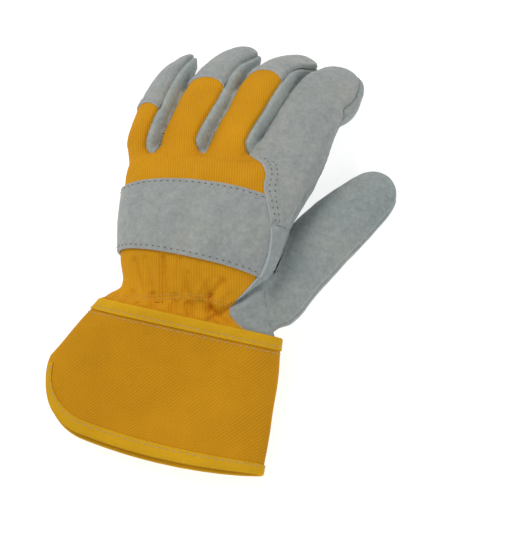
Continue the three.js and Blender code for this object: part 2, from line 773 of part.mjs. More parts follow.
// the tube runs from the hand to the mouth, so its triangles are turned to face out
cuffTube.triangles = cuffTube.triangles.map(([a, b, c]) => [a, c, b]);
const overTab = (point) => smooth(point.y, -84, -70) * (1 - smooth(point.x, 4, 14));
for (const point of cuffTube.points) {
  const level = THREE.MathUtils.lerp(FLOOR.cuff, FLOOR.tab, overTab(point));
  point.z = Math.max(point.z, level);
}
addNormals(cuffTube);
const cuffSheet = pieces(clip(clip(cuffTube, belowCuffTop, 0), insideMouth, 0))[0];
addPanel('cuff', TWILL, cuffSheet, CUFF_WALL / 2, -CUFF_WALL / 2);

// Tape folded over an edge of the cuff: a band astride the edge, hollow where the cloth lies
function binding(name, fromEdge, ends) {
  const { reach, half, thickness, over } = TAPE;
  const overhang = clip(cuffTube, fromEdge, -over);
  const whole = pieces(cut(clip(overhang, (point) => reach - fromEdge(point), 0), ends))[0];
  const { points, normals, above, below } = split(whole, fromEdge, -SEAM_GAP / 2);
  const arms = { points, normals, triangles: above };
  const band = { points, normals, triangles: [...above, ...below] };
  const levels = [half, half - thickness, thickness - half, -half];
  const positions = levels.flatMap((level) => points.map(
    (point, k) => point.clone().addScaledVector(normals[k], level)));
  const at = (k, level) => k + level * points.length;
  const triangles = [];
  for (const [a, b, c] of band.triangles) {
    triangles.push([at(a, 0), at(b, 0), at(c, 0)], [at(a, 3), at(c, 3), at(b, 3)]);
  }
  for (const [a, b, c] of arms.triangles) {
    triangles.push([at(a, 1), at(c, 1), at(b, 1)], [at(a, 2), at(b, 2), at(c, 2)]);
  }
  const wall = (from, to, high, low) => {
    triangles.push([at(to, high), at(from, high), at(from, low)], [at(to, high), at(from, low), at(to, low)]);
  };
  const edgesOf = (sheet) => rims(sheet).flatMap(
    (loop) => loop.map((from, i) => [from, loop[(i + 1) % loop.length]]));
  const armEdges = new Map(edgesOf(arms).map((edge) => [edge.join(), edge]));
  const armPoints = new Set([...armEdges.values()].flat());
  for (const [from, to] of edgesOf(band)) {
    if (armEdges.delete(`${from},${to}`)) {
      wall(from, to, 0, 1);
      wall(from, to, 2, 3);
    } else {
      // a fan, as the end of an arm may share one side of the wall
      const side = (k) => (armPoints.has(k) ? [0, 1, 2, 3] : [0, 3]).map((level) => at(k, level));
      const loop = [...side(from), ...side(to).reverse()];
      const start = armPoints.has(from) ? loop.length - 1 : 0;
      const fan = loop.map((_, i) => loop[(start + i) % loop.length]);
      for (let k = 1; k + 1 < fan.length; k++) {
        triangles.push([fan[0], fan[k], fan[k + 1]]);
      }
    }
  }
  for (const [from, to] of armEdges.values()) {
    wall(to, from, 1, 2);
  }
  glove.add(solidMesh(name, TAPE_YELLOW, compact({ positions, triangles })));
}

binding('cuff_top_binding', belowCuffTop, []);
// the lower tape starts and ends just below the notch between the two flaps
binding('cuff_edge_binding', insideMouth, [(point) => TAPE.notchEnd - point.y]);

// Leather tab over the palm side of the cuff
const tabOutline = (point) => {
  const sides = Math.min(point.x - TAB.left, TAB.right - point.x);
  const ends = Math.min(point.y - TAB.bottom, TAB.top - point.y);
  const fromBottom = point.y - TAB.bottom;
  if (sides < TAB.corner && fromBottom < TAB.corner) {
    return TAB.corner - Math.hypot(TAB.corner - sides, TAB.corner - fromBottom);
  }
  return Math.min(sides, ends);
};
const underneath = (point) => 16 - point.z;
const tabSheet = pieces(clip(clip(cuffTube, underneath, 0), tabOutline, 0))[0];
addPanel('cuff_tab', GREY_LEATHER, tabSheet, TAB.lift + LEATHER, TAB.lift);

glove.position.copy(ORIGIN).negate();
export default glove;
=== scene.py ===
import math

import bpy
import numpy as np
from mathutils import Matrix, Vector, noise


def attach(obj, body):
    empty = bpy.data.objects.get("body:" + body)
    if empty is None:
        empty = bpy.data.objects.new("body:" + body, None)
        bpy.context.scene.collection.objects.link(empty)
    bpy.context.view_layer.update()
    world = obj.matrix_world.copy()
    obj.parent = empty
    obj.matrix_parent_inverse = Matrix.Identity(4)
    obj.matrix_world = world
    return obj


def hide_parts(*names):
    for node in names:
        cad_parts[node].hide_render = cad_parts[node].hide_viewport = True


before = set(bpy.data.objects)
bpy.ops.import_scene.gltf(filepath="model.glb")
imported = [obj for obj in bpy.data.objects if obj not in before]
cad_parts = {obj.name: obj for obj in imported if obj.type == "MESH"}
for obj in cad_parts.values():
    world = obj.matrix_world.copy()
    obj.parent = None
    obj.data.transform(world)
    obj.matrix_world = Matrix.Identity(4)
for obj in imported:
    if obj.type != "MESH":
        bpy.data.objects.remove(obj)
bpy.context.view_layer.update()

# Camera. It stands at the cuff's end, a little to the thumb side, and looks down at the glove
# as it does in the photograph.

AZIMUTH = math.radians(18)
ELEVATION = math.radians(70)
CAMERA_AT = Vector((0.1011, -0.2540, 0.7106))
LENS = 85

back = Vector((math.sin(AZIMUTH) * math.cos(ELEVATION), -math.cos(AZIMUTH) * math.cos(ELEVATION),
               math.sin(ELEVATION)))
right = Vector((math.cos(AZIMUTH), math.sin(AZIMUTH), 0))
turn = Matrix((right, back.cross(right), back)).transposed()
camera = bpy.data.objects.new("camera", bpy.data.cameras.new("camera"))
camera.data.lens = LENS
camera.matrix_world = Matrix.Translation(CAMERA_AT) @ turn.to_4x4()
bpy.context.scene.collection.objects.link(camera)
bpy.context.scene.camera = camera

# Table and light. A white table that glows a little, one large soft lamp above the little finger's
# side, a weaker one from the thumb side and the pale room all round.

TABLE_HALF = 4
FLOOR_SHADE = (0.5, 0.5, 0.5, 1)
FLOOR_GLOW = 0.75
ROOM_LIGHT = 0.4
LAMPS = {
    # name: place, size and power
    "main": ((-0.8, 0.4, 1.15), 0.7, 9.5),
    "side": ((0.9, -0.5, 0.9), 0.8, 4.2),
}

bpy.context.scene.view_settings.view_transform = "Standard"
world = bpy.data.worlds.new("room")
bpy.context.scene.world = world
world.use_nodes = True
world.node_tree.nodes["Background"].inputs["Color"].default_value = (1, 1, 1, 1)
world.node_tree.nodes["Background"].inputs["Strength"].default_value = ROOM_LIGHT
for name, (place, size, power) in LAMPS.items():
    lamp = bpy.data.objects.new(name, bpy.data.lights.new(name, "AREA"))
    lamp.data.size = size
    lamp.data.energy = power
    lamp.location = place
    lamp.rotation_mode = "QUATERNION"
    lamp.rotation_quaternion = (-Vector(place)).to_track_quat("-Z", "Y")
    bpy.context.scene.collection.objects.link(lamp)

table_top = bpy.data.meshes.new("table_top")
corners = [(TABLE_HALF * x, TABLE_HALF * y, 0) for x, y in ((-1, -1), (1, -1), (1, 1), (-1, 1))]
table_top.from_pydata(corners, [], [(0, 1, 2, 3)])
white = bpy.data.materials.new("white_table")
white.use_nodes = True
for name, value in (("Base Color", FLOOR_SHADE), ("Roughness", 0.8), ("Emission Color", (1, 1, 1, 1)),
                    ("Emission Strength", FLOOR_GLOW)):
    white.node_tree.nodes["Principled BSDF"].inputs[name].default_value = value
table_top.materials.append(white)
floor = bpy.data.objects.new("table_top", table_top)
bpy.context.scene.collection.objects.link(floor)

# Shape of the glove. Every panel of the hand is cut from one skin, lofted from the hand, four
# fingers and the thumb, as the real panels are sewn to go round them. It is drawn in
# millimetres, from the cuff at low y to the fingertips, with the thumb at high x.

MM = 0.001
ORIGIN = np.array([2.76, 25.51, 0.15])
UP = np.array([0.0, 0.0, 1.0])


def table(columns, rows):
    """The rows of a table as named columns."""
    return dict(zip(columns.split(), np.array(rows, float).T))


# Little-finger edge, thumb-side edge, height above and below the line between them
HAND_COLUMNS = "lx ly lz rx ry rz up down"
HAND = table(HAND_COLUMNS, [
    [-47, -54, 15, 41, -54, 17, 12, 7],
    [-50, -40, 15, 43, -40, 18, 9, 7],
    [-51, -28, 15, 44, -26, 19, 13, 9],
    [-48.5, -18, 15.5, 39, -14, 24, 17, 11.5],
    [-52.5, -8, 16, 31, -4, 31, 19, 15],
    [-57, 3, 17, 30, 8, 37, 20, 24],
    [-62.5, 20, 17, 32, 24, 41, 19, 26],
    [-67.5, 38, 17, 34, 42, 42, 16.5, 26],
    [-70.5, 52, 16, 35, 58, 41, 15, 22],
    [-69, 58, 17, 33, 67, 40, 11.5, 10],
    [-63, 62, 19, 27, 75, 37, 4, 2],
])
FINGER_COLUMNS = "x y z wide thick roll"
FINGERS = {
    "little": table(FINGER_COLUMNS, [
        [-50, 40, 15, 20, 21, 30],
        [-60.5, 55, 15, 18, 20, 38],
        [-65.8, 66, 15.3, 18.6, 20, 42],
        [-67.2, 78, 16, 21, 20, 44],
        [-67, 91, 15.5, 23.4, 19.5, 44],
        [-66.4, 105, 14.5, 23.4, 18.5, 44],
        [-64.5, 117, 12.8, 19.8, 17.5, 44],
        [-62.5, 127, 8.5, 14.5, 15, 44],
        [-59.5, 139, 5.5, 10, 10.5, 44],
    ]),
    "ring": table(FINGER_COLUMNS, [
        [-36, 42, 20, 27, 23, 22],
        [-39.8, 57, 20, 27.6, 23, 22],
        [-42, 74, 22, 28.6, 23, 24],
        [-40.8, 88, 23, 29.6, 23, 24],
        [-39.1, 104, 22, 31.4, 22, 24],
        [-37.6, 120, 19, 28.8, 21, 24],
        [-33.5, 136, 12.5, 25, 18, 24],
        [-23.2, 152.3, 5.8, 18.5, 13, 24],
    ]),
    "middle": table(FINGER_COLUMNS, [
        [-11, 46, 26, 27, 24, 22],
        [-13, 62, 26, 27.5, 24, 22],
        [-13.3, 81, 27, 26.5, 24, 24],
        [-10.2, 100, 28, 27.6, 23, 24],
        [-8.3, 117, 26, 29.2, 22, 24],
        [-5, 132.5, 20.5, 25.5, 20, 24],
        [2.2, 146, 11.5, 20.5, 16, 24],
        [14.5, 155, 5, 15, 12, 24],
    ]),
    "index": table(FINGER_COLUMNS, [
        [10, 32, 30, 44, 24, 12],
        [13.5, 47, 31, 45, 24, 12],
        [17.5, 63, 32, 44, 24, 12],
        [20.7, 82, 31, 40.6, 23, 11],
        [22.4, 105, 27, 37.2, 22, 9],
        [24, 118, 23.5, 36, 21.5, 6],
        [28.4, 130, 19.2, 39.2, 21, -4],
        [31, 143, 12, 33.4, 19, -6],
        [32.4, 157, 6, 26, 15, -4],
    ]),
}
THUMB = table(FINGER_COLUMNS, [
    [10, -30, 18, 16, 10, 0],
    [18, -23, 19, 24, 14, 0],
    [25, -13, 19.5, 31, 16, 0],
    [33, -3, 17.5, 38, 25, 0],
    [40.5, 19, 15, 40, 29, 0],
    [49.5, 40, 14, 39, 28, 0],
    [59.5, 60, 12.8, 37, 26, 0],
    [69, 78, 10.8, 32, 22, 0],
    [77, 95, 8.6, 24, 18, 0],
])
# The cuff is a loft of its own, and the wrist swells to meet it
CUFF = table(HAND_COLUMNS, [
    [-50, -8, 15, 44, -2, 20, 17.5, 13],
    [-56, -29, 14, 47, -24, 19.5, 17.5, 12.8],
    [-63.8, -45, 10.5, 51.5, -42, 16.5, 15, 9.6],
    [-70.5, -62, 8, 54.3, -61, 13.5, 12.3, 7.2],
    [-78, -78, 5, 57, -77, 12, 11, 5.8],
    [-83, -92, 3.8, 58.6, -90, 10.8, 10.6, 4.9],
    [-86, -112, 3.2, 60.5, -108, 9.6, 10.6, 4.2],
])
TIP_LENGTH = {"little": 11, "ring": 13, "middle": 13, "index": 16, "thumb": 16}
SQUARENESS = {"hand": 2.3, "little": 2.7, "ring": 2.7, "middle": 2.7, "index": 2.6, "thumb": 2.4,
              "cuff": 2.6}
# Distance along each finger to the crotch on its little-finger side and on its thumb side
CROTCH = {"little": (24, 22), "ring": (22, 27), "middle": (26, 28), "index": (44, 44)}
FINGER_FIT = 0.975  # leaves the fingers a little room from one another
TIP_BEND = (2.4, 1 / 2.2)  # how bluntly the fingertips close
VOXEL = 1.0
# Points round a tube, and sections along the hand, the cuff, a finger, its tip and a step of it
TUBE_AROUND = 96
HAND_STEPS = 60
CUFF_STEPS = 84
BODY_STEPS = 36
TIP_STEPS = 14
FINE_STEPS = 40
LOOK_AHEAD = 0.08  # of a step, for a finger's direction
POINTED = 0.5  # half the width of a tube that has come to a point
BLEND_ROUNDS = 6
CREASE_ROUNDS = 55
CREASE_NEAR = (1.05, 1.45)  # how far out from the second nearest tube a crease is rounded
CREASE_END = (5, 16)  # and how far past the crotch
ON_FINGER = 1.25  # a point no further out than this belongs to the finger
WRIST_END = -38  # the skin ends here inside the cuff
SKIN_REST = 0.1
ROUND = np.radians(np.linspace(-90, 270, 145))  # angles round a section, from its lowest point
RIB_ACROSS = np.array([0.951, 0.309])  # across the ribs of the cloth, as seen from above


def along(rows, t):
    """The smooth value of every column at the row numbers t."""
    result = {}
    for name, column in rows.items():
        last = len(column) - 1
        i = np.clip(np.floor(t).astype(int), 0, last - 1)
        f = t - i
        a, b, c, d = (column[np.clip(i + k, 0, last)] for k in (-1, 0, 1, 2))
        result[name] = b + 0.5 * f * (
            c - a + f * (2 * a - 5 * b + 4 * c - d + f * (3 * (b - c) + d - a)))
    return result


def unit(vectors):
    return vectors / np.linalg.norm(vectors, axis=-1, keepdims=True)


def lerp(a, b, f):
    return a + (b - a) * f


def smooth(value, low, high):
    """0 below low, 1 above high, and a smooth step between."""
    t = np.clip((value - low) / (high - low), 0, 1)
    return t * t * (3 - 2 * t)


def columns_of(row, names):
    return np.stack([row[name] for name in names.split()], -1)


def measured(stations, power):
    """Adds to the stations the distance of each from the first, and how square they are. Adds also
    how much longer the way from the top round each section is than it looks from above."""
    steps = np.linalg.norm(np.diff(stations["centre"], axis=0), axis=1)
    cos, sin = np.cos(ROUND), np.sin(ROUND)
    out = (np.abs(cos) ** power + np.abs(sin) ** power) ** (-1 / power)
    height = np.where(sin > 0, stations["above"][:, None], stations["below"][:, None])
    ring = (stations["right"][:, None] * (stations["half"][:, None] * cos * out)[..., None]
            + stations["up"][:, None] * (height * sin * out)[..., None])
    way = np.cumsum(np.linalg.norm(np.diff(ring, axis=1, prepend=ring[:, :1]), axis=-1), axis=1)
    rounding = -way - ring[..., :2] @ RIB_ACROSS
    return {**stations, "s": np.concatenate([[0], np.cumsum(steps)]), "power": power,
            "rounding": rounding - rounding[:, [len(ROUND) // 2]]}


def hand_stations(rows, count, power):
    """Sections across the hand or the cuff: a centre, three directions and the half sizes."""
    row = along(rows, np.linspace(0, len(rows["lx"]) - 1, count))
    left = columns_of(row, "lx ly lz")
    right = columns_of(row, "rx ry rz")
    across = unit(right - left)
    return measured({
        "centre": (left + right) / 2,
        "right": across,
        "up": unit(UP - across * across[:, 2:]),
        "half": np.linalg.norm(right - left, axis=1) / 2,
        "above": row["up"],
        "below": row["down"],
    }, power)


def finger_stations(rows, tip, power):
    """Sections along a finger, closing to a rounded end."""
    last = len(rows["x"]) - 1
    fine = np.linspace(0, last, FINE_STEPS * last + 1)

    def line(t):
        return columns_of(along(rows, np.clip(t, 0, last)), "x y z")

    steps = np.linalg.norm(np.diff(line(fine), axis=0), axis=1)
    length = np.concatenate([[0], np.cumsum(steps)])
    total = length[-1]
    turn = np.linspace(0, math.pi / 2, TIP_STEPS)
    s = np.concatenate([np.linspace(0, total - tip, BODY_STEPS, endpoint=False),
                        total - tip + tip * np.sin(turn)])
    closing = np.ones(len(s))
    closing[BODY_STEPS:] = np.maximum(0, 1 - np.sin(turn) ** TIP_BEND[0]) ** TIP_BEND[1]
    t = np.interp(s, length, fine)
    row = along(rows, t)
    forward = unit(line(t + LOOK_AHEAD) - line(t - LOOK_AHEAD))
    level = unit(np.cross(forward, UP))
    roll = -np.radians(row["roll"])[:, None]
    right = level * np.cos(roll) + np.cross(forward, level) * np.sin(roll)
    half = row["wide"] / 2 * closing * FINGER_FIT
    thick = row["thick"] / 2 * closing * FINGER_FIT
    return measured({"centre": line(t), "right": right, "up": np.cross(right, forward), "half": half,
                     "above": thick, "below": thick}, power)


def tube(stations, around):
    """Rings of points round the stations, and the triangles between them, facing out."""
    angle = np.linspace(0, 2 * math.pi, around, endpoint=False)
    bend = 2 / stations["power"]
    across = np.sign(np.cos(angle)) * np.abs(np.cos(angle)) ** bend
    rise = np.sign(np.sin(angle)) * np.abs(np.sin(angle)) ** bend
    height = np.where(rise > 0, stations["above"][:, None], stations["below"][:, None])
    points = (stations["centre"][:, None]
              + stations["right"][:, None] * (stations["half"][:, None] * across)[..., None]
              + stations["up"][:, None] * (height * rise)[..., None])
    ring = np.arange(len(points) - 1)[:, None] * around
    a = ring + np.arange(around)
    d = ring + (np.arange(around) + 1) % around
    triangles = np.concatenate([np.stack([a, a + around, d + around], -1).reshape(-1, 3),
                                np.stack([a, d + around, d], -1).reshape(-1, 3)])
    return points.reshape(-1, 3), triangles


def closed_tube(stations, around):
    """A tube with a fan of triangles over each end. A pointed end loses its last, empty ring."""
    pointed = stations["half"][-1] < POINTED
    kept = {name: value[:-1] if pointed and name != "power" else value
            for name, value in stations.items()}
    points, triangles = tube(kept, around)
    first = np.arange(around)
    last = first + len(points) - around
    ends = len(points) + np.array([0, 1])
    points = np.concatenate([points, stations["centre"][[0, -1]]])
    fans = [np.stack([np.full(around, ends[0]), first, np.roll(first, -1)], -1),
            np.stack([np.full(around, ends[1]), np.roll(last, -1), last], -1)]
    return points, np.concatenate([triangles, *fans])


def object_of(name, points, triangles):
    mesh = bpy.data.meshes.new(name)
    mesh.from_pydata(points.tolist(), [], triangles.tolist())
    made = bpy.data.objects.new(name, mesh)
    bpy.context.scene.collection.objects.link(made)
    return made


def joined(tubes, voxel):
    """One closed surface round tubes that run into one another."""
    count = 0
    triangles = []
    for points, faces in tubes:
        triangles.append(faces + count)
        count += len(points)
    lofts = object_of("lofts", np.concatenate([points for points, _ in tubes]), np.concatenate(triangles))
    remesh = lofts.modifiers.new("joined", "REMESH")
    remesh.mode = "VOXEL"
    remesh.voxel_size = voxel
    mesh = lofts.evaluated_get(bpy.context.evaluated_depsgraph_get()).to_mesh()
    mesh.calc_loop_triangles()
    points = np.empty(3 * len(mesh.vertices))
    mesh.vertices.foreach_get("co", points)
    faces = np.empty(3 * len(mesh.loop_triangles), np.int32)
    mesh.loop_triangles.foreach_get("vertices", faces)
    bpy.data.objects.remove(lofts)
    return points.reshape(-1, 3), faces.reshape(-1, 3).astype(np.int64)


def directed_edges(triangles):
    return np.concatenate([triangles[:, [0, 1]], triangles[:, [1, 2]], triangles[:, [2, 0]]])


def relaxed(points, triangles, weight, rounds):
    """Each point moved towards the middle of its neighbours, by its weight, in rounds."""
    edges = np.unique(np.sort(directed_edges(triangles), axis=1), axis=0)
    near = np.concatenate([edges[:, 0], edges[:, 1]])
    far = np.concatenate([edges[:, 1], edges[:, 0]])
    count = np.bincount(near, minlength=len(points))[:, None]
    for _ in range(rounds):
        mean = np.stack([np.bincount(near, points[far, k], len(points)) for k in range(3)], 1) / count
        points = points + 0.5 * weight[:, None] * (mean - points)
    return points


def normals_of(points, triangles):
    a, b, c = (points[triangles[:, k]] for k in range(3))
    faces = np.cross(b - a, c - a)
    return unit(np.stack([sum(np.bincount(triangles[:, corner], faces[:, k], len(points))
                              for corner in range(3)) for k in range(3)], 1) + 1e-12)


def from_steps(points, starts, steps):
    """The share of each step at its nearest place to each point, and the way from there."""
    offset = points[:, None] - starts
    f = np.clip((offset * steps).sum(-1) / (steps ** 2).sum(-1), 0, 1)
    return f, offset - f[..., None] * steps


def locate(stations, points):
    """Where points lie about a row of stations: the distance along, out to the right and up, the
    angle round the section and how far out it is, 1 being on the surface."""
    f, gap = from_steps(points, stations["centre"][:-1], np.diff(stations["centre"], axis=0))
    i = (gap ** 2).sum(-1).argmin(1)
    rows = np.arange(len(points))
    f, gap = f[rows, i], gap[rows, i]

    def mix(name):
        value = stations[name]
        share = f[:, None] if value.ndim > 1 else f
        return lerp(value[i], value[i + 1], share)

    u = (gap * unit(mix("right"))).sum(-1)
    w = (gap * unit(mix("up"))).sum(-1)
    past = np.sqrt(np.maximum(0, (gap ** 2).sum(-1) - u * u - w * w))
    half = np.maximum(mix("half"), 1)
    height = np.maximum(np.where(w > 0, mix("above"), mix("below")), 1)
    out = np.sqrt((u / half) ** 2 + (w / height) ** 2 + (past / height) ** 2)
    angle = np.degrees(np.arctan2(w / height, u / half))
    turn = (angle + 90) % 360 / 360 * (len(ROUND) - 1)
    before = np.minimum(turn.astype(int), len(ROUND) - 2)
    rounding = mix("rounding")
    rounding = lerp(rounding[rows, before], rounding[rows, before + 1], turn - before)
    return {"s": mix("s"), "u": u, "w": w, "half": half, "height": height, "out": out,
            "rounding": rounding, "angle": angle, "reach": np.hypot(u, w), "spoke": gap}


tubes = {"hand": hand_stations(HAND, HAND_STEPS, SQUARENESS["hand"]),
         "thumb": finger_stations(THUMB, TIP_LENGTH["thumb"], SQUARENESS["thumb"])}
for name, rows in FINGERS.items():
    tubes[name] = finger_stations(rows, TIP_LENGTH[name], SQUARENESS[name])
points, triangles = joined([closed_tube(stations, TUBE_AROUND) for stations in tubes.values()], VOXEL)
points = relaxed(points, triangles, np.ones(len(points)), BLEND_ROUNDS)
places = {name: locate(stations, points) for name, stations in tubes.items()}
closeness = np.sort([place["out"] for place in places.values()], axis=0)
past = np.max([np.where(place["out"] < ON_FINGER, place["s"] - max(CROTCH[name]), -np.inf)
               for name, place in places.items() if name in CROTCH], axis=0)
creased = (1 - smooth(closeness[1], *CREASE_NEAR)) * (1 - smooth(past, *CREASE_END))
points = relaxed(points, triangles, creased, CREASE_ROUNDS)
points[:, 2] = np.maximum(points[:, 2], SKIN_REST)

# Seams. Their places are fields over the skin, in millimetres from each seam line. The index
# leather's edge, the wedge below it and the thumb's top are drawn on the back as seen from above,
# and the rest follow the hand and fingers.

LEATHER_EDGE = table("x y", [
    [34, -60], [31.5, -33], [27.5, -27.5], [22.5, -25], [18.2, -22.3], [16, -19], [17.8, -15],
    [20.5, -10.5], [25, 0], [26.5, 14], [24, 28], [18, 40.5], [13.5, 50], [12, 58], [7, 65.5], [1, 70],
    [-3, 73], [-0.5, 81],
])
GUSSET_SEAM = table("x y", [[15, 24], [34, 33.5]])
# Seen from a little to the thumb side, as it runs over the steep edge of the hand
THUMB_TOP_SEAM = table("x y", [
    [80, 42], [36, 31], [37, 25], [35.7, 17], [32.3, 7.6], [29, -1], [25, -6.5], [20.5, -14], [10, -27],
])
THUMB_TOP_LEAN = {"per_z": 0.6, "from": 38}
EDGE_STEPS = 120
THUMB_TOP_JOIN = 5  # how near the crease the thumb's top goes over to the hand
CAP_AT = {"little": 55.5, "ring": 72.5, "middle": 80.5, "index": 900}
CAP_BOW = 0.025  # how much its edge curves
PALM_DROP = 3  # from the line between the hand's edges down to the palm's seam
PALM_SEAM = -42  # degrees below the middle of a finger's side
OUTER_SEAM = -10
NO_STRIP = -30  # on the outer sides, where this keeps the strips away
STRIP_STOP = 0.7  # how near a fingertip's very end the side strips come
INDEX_TIP_SEAM = {"degrees": 45, "from": 84, "to": 97}
# The back seam on the side away from the thumb, and each finger's own on its thumb side
BACK_SEAM = {"far": 26, "little": 33, "ring": 42, "middle": 37, "index": 14}
THUMB_SEAM = {"root": 28, "inner": -8, "outer": 12, "from": 62, "to": 76}
STRAP = {"low": -2, "tilt": 0.035, "tilt_at": -60, "high": 45.5, "bow": 0.0022, "lift": 0.35}
CUFF_TOP = {"y": -21.8, "per_x": 0.086, "per_z": -0.284}
WRIST_IN_CUFF = 2.4  # from the middle of the cuff's wall to the skin inside it
SWELLING = (-11, 0)  # over this stretch above the cuff's edge
RIM_LEAST = 0.2
# Where a seam or the ribs go over from the hand to a finger, in millimetres past the crotch
ROOT = {"palm": (-14, 0), "side": (-13, 7), "ribs": (-16, 4)}
BETWEEN_FINGERS = (70, 76)  # and how far up the leather's edge goes over to the valley
OUT_MM = {"finger": 12, "thumb": 14}  # millimetres for a tube's own size further out


def side_angle(place):
    """The angle measured from the finger's thumb side, or from its other side for a negative u."""
    turned = np.where(place["u"] > 0, place["angle"], 180 - place["angle"])
    return (turned + 180) % 360 - 180


def mm_below(place, degrees):
    return np.radians(degrees - side_angle(place)) * place["reach"]


def left_of(line, points):
    """Distance to a line drawn on the table, positive on its left."""
    corners = columns_of(line, "x y")
    steps = np.diff(corners, axis=0)
    _, gap = from_steps(points[:, :2], corners[:-1], steps)
    distance = np.linalg.norm(gap, axis=-1)
    i = distance.argmin(1)
    rows = np.arange(len(points))
    cross = steps[i, 0] * gap[rows, i, 1] - steps[i, 1] * gap[rows, i, 0]
    return distance[rows, i] * np.where(cross >= 0, 1, -1)


def below_cuff_top(points):
    x, y, z = points.T
    return CUFF_TOP["y"] + CUFF_TOP["per_x"] * x + CUFF_TOP["per_z"] * z - y


def swollen_into_cuff(points):
    """The wrist brought out to the cuff's wall where it goes into the cuff."""
    place = locate(cuff_stations, points)
    power = SQUARENESS["cuff"]
    rim = (np.abs(place["u"] / (place["half"] - WRIST_IN_CUFF)) ** power
           + np.abs(place["w"] / (place["height"] - WRIST_IN_CUFF)) ** power) ** (1 / power)
    share = smooth(below_cuff_top(points), *SWELLING)
    return points + place["spoke"] * ((1 / np.maximum(rim, RIM_LEAST) - 1) * share)[:, None]


def nearest_finger(points):
    """Where each point lies about the finger that it belongs to."""
    places = {name: locate(tubes[name], points) for name in FINGERS}
    names = np.array(list(FINGERS))
    pick = np.argmin([places[name]["out"] for name in names], axis=0)
    rows = np.arange(len(points))
    finger = {key: np.array([places[name][key] for name in names])[pick, rows]
              for key in places["little"]}
    side = (finger["u"] > 0).astype(int)
    finger["past_crotch"] = finger["s"] - np.array([CROTCH[name] for name in names])[pick, side]
    finger["past_cap"] = (finger["s"] - np.array([CAP_AT[name] for name in names])[pick]
                          + CAP_BOW * finger["u"] ** 2)
    finger["outer"] = ((pick == 0) & (side == 0)) | ((pick == 3) & (side == 1))
    finger["pick"] = pick
    return finger, places


def seam_fields(points):
    """Every seam's distance at each point, positive on the side that its name says."""
    x, y, z = points.T
    hand = locate(tubes["hand"], points)
    thumb = locate(tubes["thumb"], points)
    finger, places = nearest_finger(points)
    past_crotch = finger["past_crotch"]
    raised = smooth(finger["s"], INDEX_TIP_SEAM["from"], INDEX_TIP_SEAM["to"]) * (finger["pick"] == 3)
    outer_seam = lerp(OUTER_SEAM, INDEX_TIP_SEAM["degrees"], raised)
    palm_side = mm_below(finger, np.where(finger["outer"], outer_seam, PALM_SEAM))
    on_palm = lerp(-PALM_DROP - hand["w"], palm_side, smooth(past_crotch, *ROOT["palm"]))
    high = np.array([BACK_SEAM[name] for name in FINGERS])[finger["pick"]]
    high = np.where(finger["u"] > 0, high, BACK_SEAM["far"])
    side_top = np.where(finger["outer"], NO_STRIP,
                        lerp(PALM_SEAM, high, smooth(past_crotch, *ROOT["side"])))
    others = np.min([places[name]["out"] for name in ("little", "ring", "middle")], axis=0)
    between = OUT_MM["finger"] * (places["index"]["out"] - others)
    edge = along(LEATHER_EDGE, np.linspace(0, len(LEATHER_EDGE["x"]) - 1, EDGE_STEPS))
    on_finger = smooth(past_crotch, *ROOT["ribs"])
    inner_seam = lerp(THUMB_SEAM["root"], THUMB_SEAM["inner"],
                      smooth(thumb["s"], THUMB_SEAM["from"], THUMB_SEAM["to"]))
    under_thumb = mm_below(thumb, np.where(thumb["u"] > 0, THUMB_SEAM["outer"], inner_seam))
    on_hand = OUT_MM["thumb"] * (thumb["out"] - np.minimum(hand["out"], finger["out"]))
    leaned = np.stack([x - THUMB_TOP_LEAN["per_z"] * (z - THUMB_TOP_LEAN["from"]), y, z], 1)
    trunk = np.minimum(left_of(THUMB_TOP_SEAM, leaned), -on_palm)
    join = np.minimum(np.minimum(-under_thumb, trunk), THUMB_TOP_JOIN - np.abs(on_hand))
    return {
        "on_hand": on_hand,
        "on_thumb_top": np.max([np.minimum(-under_thumb, -on_hand), np.minimum(trunk, on_hand), join], 0),
        "on_palm": on_palm,
        "on_side": np.minimum(mm_below(finger, side_top), finger["reach"] - STRIP_STOP),
        "in_cloth": lerp(left_of(edge, points), between, smooth(y, *BETWEEN_FINGERS)),
        "above_gusset": left_of(GUSSET_SEAM, points),
        "on_tip": finger["past_cap"],
        "under_thumb": under_thumb,
        "below_strap_top": STRAP["high"] - STRAP["bow"] * x ** 2 - y,
        "above_strap_low": y - STRAP["low"] - STRAP["tilt"] * (x - STRAP["tilt_at"]),
        "in_cuff": below_cuff_top(points),
        "across": RIB_ACROSS @ (x, y) + lerp(hand["rounding"], finger["rounding"], on_finger),
        "lengthwise": y,
        "hand_across": hand["u"] / hand["half"],
    }


cuff_stations = hand_stations(CUFF, CUFF_STEPS, SQUARENESS["cuff"])
points = swollen_into_cuff(points)
points[:, 2] = np.maximum(points[:, 2], SKIN_REST)
skin = {"triangles": triangles, "points": points, "normals": normals_of(points, triangles),
        **seam_fields(points)}


# Folds of the soft hand. Gathers and wrinkles of the wrist cloth where elastic draws it in, the
# broad folds of the strap and the small lumps of worn leather, as heights above the skin.

WEDGE_SEAM = {"depth": 2.3, "above": 0.9, "below": 2.8}  # the crease along the thumb's top
GATHERS = {"folds": 9, "depth": 0.9, "rounding": 0.03, "level": 1.2}
BACK_FADE = (2, 9)  # above the palm's seam
HAND_FADE = (0, 6)
CUFF_FADE = (-4, 0)
SHIRRING = table("x y", [[-52, -29], [-43.6, -28], [-27.6, -24.5], [-12, -20], [1.5, -17.5], [22, -17]])
SHIRRING_REACH = 13
TAUT = 0.7  # how much of the small lumps the elastic takes away
# Height of the uneven lumps, their size, and a number that sets them apart
LUMPS = {"gathers": (0.025, 14, 1), "hand": (0.45, 17, 2), "leather": (0.22, 6, 3), "cuff": (0.35, 34, 5),
         "twill": (0.1, 9, 6), "tape": (0.08, 5, 7)}
